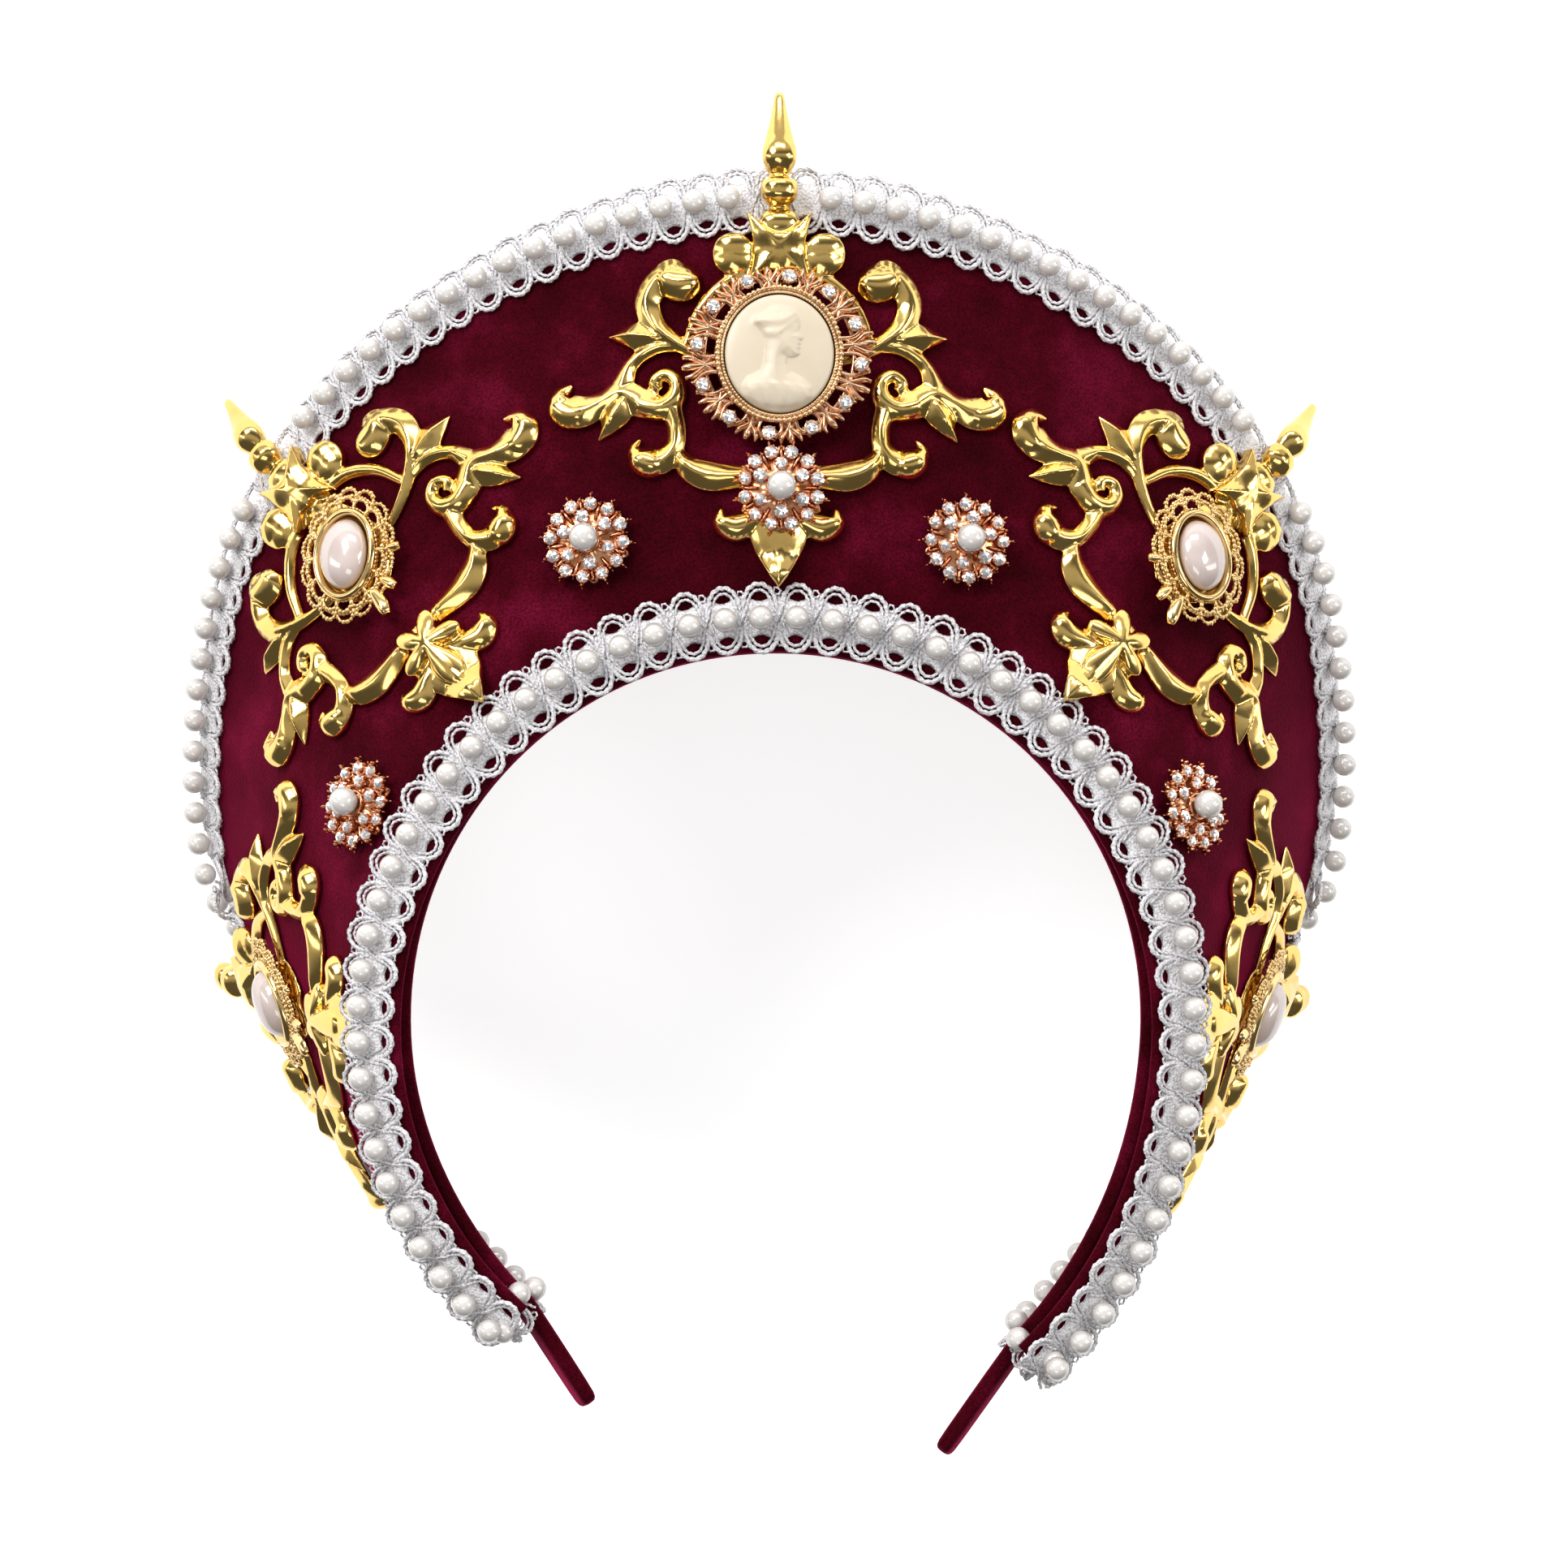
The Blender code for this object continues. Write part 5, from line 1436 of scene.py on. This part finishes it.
def cameo(place):
    """An oval ground, gently domed, with the bust carved on it."""
    around, rows = 200, 58
    sections = [oval_ring((CAMEO_HALF[0] * 0.95, CAMEO_HALF[1] * 0.95), 0.0, around)]
    for share in np.concatenate([[1.0, 0.985], np.linspace(0.96, 0.012, rows)]):
        row = oval_ring((CAMEO_HALF[0] * share, CAMEO_HALF[1] * share), 0.0, around)
        row[:, 2] = 1.55 + 1.15 * math.sqrt(max(0.0, 1.0 - share**2)) + bust_relief(row[:, 0], row[:, 1])
        if share > 0.97:
            row[:, 2] = 0.6 + (1.0 - share) * 60.0
        sections.append(row)
    mesh = mended(make_mesh("cameo", *loft(sections)))
    raised = place @ Matrix.Translation((0.0, 0.0, 0.8 + SEAT_GAP))
    add_piece("carved_cameo", mesh, IVORY, ("cameo",), place=raised)


# Flower brooches

FLOWER_RADIUS = 8.9
FLOWER_PEARL_RADIUS = 2.75
FLOWER_ARMS = 6


def flower_parts():
    """The flower's metal, made flat, and the places of its stones."""
    metal, stones = [], []
    rings = []
    q = np.arange(96) * 2 * math.pi / 96
    petal = 0.80 + 0.12 * np.cos(q * FLOWER_ARMS) + 0.05 * np.cos(q * FLOWER_ARMS * 2)
    for share, height in ((0.90, 0.0), (1.0, 0.3), (0.94, 0.75), (0.6, 0.55), (0.36, 1.3), (0.30, 1.75),
                          (0.05, 1.75)):
        rings.append(np.stack([FLOWER_RADIUS * petal * share * np.sin(q),
                               FLOWER_RADIUS * petal * share * np.cos(q), np.full(96, height)], axis=1))
    metal.append(loft(rings))
    for arm in range(FLOWER_ARMS):
        for distance, shift in ((4.55, 0.0), (7.05, -15.5), (7.05, 15.5)):
            a = math.radians(60.0 * arm + shift)
            x, y = distance * math.sin(a), distance * math.cos(a)
            lift = 1.35 if distance < 5.0 else 0.75
            stones.append((x, y, lift + 0.55))
            metal += [moved(piece, [x, y, lift]) for piece in cup_mesh(1.12, 4, 20.0 + 60.0 * arm)]
        for shift, reach in ((0.0, 8.5), (-30.0, 8.0), (-15.5, 9.5), (15.5, 9.5)):
            a = 60.0 * arm + shift
            rows = ((0, reach - 3.6, 0.35), (0, reach - 1.6, 0.48), (0, reach, 0.1))
            metal.append(moved(stroke_mesh("round", 1.0, turned_flat(rows, a)), [0, 0, 0.55]))
            tip = math.radians(a)
            points, faces = claw(0.42, 1.7)
            metal.append((points + [(reach - 0.7) * math.sin(tip), (reach - 0.7) * math.cos(tip), 0.7],
                          faces))
    metal.append(moved(oval_lathe((2.3, 2.3), ((-0.3, 0.0), (0.35, 0.0), (0.4, 0.7), (0.1, 0.95),
                                               (-0.2, 0.6)), 24), [0, 0, 1.6]))
    return metal, stones


def flower_brooches():
    metal, stones = flower_parts()
    flower = mended(make_mesh("flower", *joined(metal)), 0.0005)
    spots = [(name, angle, across, turn, SEAT_GAP + 0.6, (0.0, 0.0)) for name, angle, across, turn in FLOWERS]
    _, angle, across, turn = SCROLLS[0]
    spots.append(("centre", angle, across, turn, SCROLL_LIFT + CENTRE_FLOWER_LIFT + SEAT_GAP,
                  CENTRE_FLOWER_OFFSET))
    bead = bead_mesh(FLOWER_PEARL_RADIUS, 28, 18)
    for seed, (name, angle, across, turn, lift, offset) in enumerate(spots):
        place = setting_place(angle, across, turn, lift, offset)
        add_piece("flower_metal_" + name, flower.copy(), COPPER, ("flower_brooch_" + name,),
                  place=place)
        mesh = repeated("flower_stones", cut_stone(1.34), stones, [(1, 0, 0)] * len(stones),
                        [(0, 0, 1)] * len(stones), STONE, Turn_Spread=3.0, Size_Spread=0.05, Seed=20 + seed)
        add_piece("flower_stones_" + name, mesh, STONE, smooth=False, place=place)
        raised = place @ Matrix.Translation((0.0, 0.0, 1.9 + FLOWER_PEARL_RADIUS))
        add_piece("flower_bead_" + name, bead.copy(), PEARL, ("flower_pearl_" + name,), place=raised)


# Camera, floor and light

CAMERA_AT = (-0.020, -0.850, 0.0455)    # metres, as all that follows, in the hood's own frame
CAMERA_YAW = math.atan2(21.2, 850.0)
CAMERA_ROLL = math.radians(0.2)
CAMERA_LENS = 103.0
FLOOR_HALF = 4.0
LIT_POINT = (0.0, 0.02, 0.03)
# soft boxes: name, across, towards the camera, up, width, height, watts
SOFT_BOXES = (
    ("key", -0.75, -0.95, 0.75, 0.55, 0.55, 11.0),
    ("fill", 0.95, -0.80, 0.25, 0.26, 0.50, 2.6),
    ("top", 0.05, -0.75, 1.05, 0.90, 0.30, 4.0),
    ("low", -0.10, -1.00, -0.55, 0.60, 0.30, 1.6),
    ("left_strip", -1.15, -0.50, 0.10, 0.20, 0.80, 1.5),
    ("right_strip", 1.10, -0.50, 0.00, 0.20, 0.80, 1.7),
)
# light and dark over and under the hood, which the polished metal mirrors: share of the height, colour
STUDIO_BANDS = (
    (0.0, (0.10, 0.10, 0.10)), (0.30, (0.10, 0.10, 0.10)), (0.44, (0.46, 0.46, 0.45)),
    (0.55, (0.50, 0.50, 0.49)), (0.63, (0.10, 0.10, 0.10)), (0.72, (0.16, 0.16, 0.16)),
    (0.80, (0.70, 0.70, 0.70)), (1.0, (0.50, 0.50, 0.50)),
)


def in_scene(name, data):
    obj = bpy.data.objects.new(name, data)
    bpy.context.scene.collection.objects.link(obj)
    return obj


def camera_view():
    view = bpy.data.cameras.new("view")
    view.lens = CAMERA_LENS
    view.sensor_width = 36.0
    view.clip_start = 0.01
    camera = in_scene("view", view)
    seen = (Matrix.Translation(CAMERA_AT) @ Matrix.Rotation(-CAMERA_YAW, 4, "Z")
            @ Matrix.Rotation(math.radians(90.0), 4, "X") @ Matrix.Rotation(CAMERA_ROLL, 4, "Z"))
    camera.matrix_world = REST @ seen
    bpy.context.scene.camera = camera
    bpy.context.scene.view_settings.view_transform = "Standard"


def pale_floor():
    mesh = bpy.data.meshes.new("floor")
    corners = [(x * FLOOR_HALF, y * FLOOR_HALF, 0.0) for x, y in ((-1, -1), (1, -1), (1, 1), (-1, 1))]
    mesh.from_pydata(corners, [], [(0, 1, 2, 3)])
    floor = in_scene("floor", mesh)
    finish, _, shader = new_finish("pale_floor")
    set_inputs(shader, Base_Color=(0.93, 0.93, 0.93, 1.0), Roughness=0.9, Specular_IOR_Level=0.1,
               Emission_Color=(1.0, 1.0, 1.0, 1.0), Emission_Strength=0.70)
    mesh.materials.append(finish)


def studio_world():
    """Bands of light and dark, level with the hood's own frame."""
    world = bpy.data.worlds.new("studio")
    world.use_nodes = True
    tree = world.node_tree
    way = tree.nodes.new("ShaderNodeTexCoord")
    turned = tree.nodes.new("ShaderNodeMapping")
    turned.vector_type = "VECTOR"
    turned.inputs["Rotation"].default_value = (math.radians(-REST_TILT), 0.0, 0.0)
    height = tree.nodes.new("ShaderNodeSeparateXYZ")
    share = tree.nodes.new("ShaderNodeMapRange")
    share.inputs["From Min"].default_value = -1.0
    tree.links.new(way.outputs["Generated"], turned.inputs["Vector"])
    tree.links.new(turned.outputs["Vector"], height.inputs["Vector"])
    tree.links.new(height.outputs["Z"], share.inputs["Value"])
    background = tree.nodes["Background"]
    tree.links.new(ramp(tree, share.outputs[0], STUDIO_BANDS), background.inputs["Color"])
    background.inputs["Strength"].default_value = 1.0
    bpy.context.scene.world = world


def soft_boxes():
    aim = REST @ Vector(LIT_POINT)
    for name, x, y, z, width, height, watts in SOFT_BOXES:
        lamp = bpy.data.lights.new(name, "AREA")
        lamp.shape = "RECTANGLE"
        lamp.size = width
        lamp.size_y = height
        lamp.energy = watts
        at = REST @ Vector((x, y, z))
        facing = (aim - at).to_track_quat("-Z", "Y").to_matrix().to_4x4()
        in_scene(name, lamp).matrix_world = Matrix.Translation(at) @ facing


# The making

MOTTLE = mottle_group()
THREADS = thread_group()
VELVET = velvet_finish("burgundy_velvet")
VELVET_BAND = velvet_finish("burgundy_velvet_band")
LACE = lace_finish("white_cord")
# the second colour of each pearl finish is painted shade at the rims
PEARL = pearl_finish("pearl_bead", (0.80, 0.765, 0.73), (0.40, 0.36, 0.33))
CABOCHON = pearl_finish("pearl_cabochon", (0.74, 0.62, 0.58), (0.42, 0.31, 0.27))
GOLD = metal_finish("stamped_gold", ((0.3, (0.82, 0.54, 0.155)), (0.7, (0.92, 0.635, 0.22))), (0.10, 0.18),
                    120.0, 0.08)
BEZEL_GOLD = metal_finish("bezel_gold", ((0.3, (0.78, 0.52, 0.20)), (0.7, (0.90, 0.67, 0.33))), (0.10, 0.20),
                          300.0, 0.05)
FILIGREE_GOLD = metal_finish("filigree_gold", ((0.3, (0.70, 0.44, 0.17)), (0.7, (0.90, 0.66, 0.32))),
                             (0.16, 0.30), 500.0, 0.1)
ROSE = metal_finish("rose_gold", ((0.3, (0.55, 0.30, 0.17)), (0.7, (0.82, 0.54, 0.36))), (0.14, 0.26), 420.0,
                    0.1)
ROSE_BRIGHT = metal_finish("rose_gold_bright", ((0.3, (0.74, 0.46, 0.24)), (0.7, (0.92, 0.68, 0.40))),
                           (0.14, 0.24), 420.0, 0.08)
COPPER = metal_finish("copper_flower", ((0.3, (0.62, 0.22, 0.07)), (0.7, (0.85, 0.48, 0.30))), (0.16, 0.30),
                      420.0, 0.1)
STONE = stone_finish("clear_stone")
IVORY = cameo_finish("carved_ivory")
REPEATED_PIECE = repeated_piece_tree()
TWISTED_CORD = twisted_cord_tree()
GRANULATED_WIRE = granulated_wire_tree()

camera_view()
pale_floor()
studio_world()
soft_boxes()
crescent, crescent_area = velvet_crescent()
velvet_headband()
lace_trims(pearl_strings())
scroll_ornaments()
cabochon_settings()
cameo(cameo_setting())
flower_brooches()
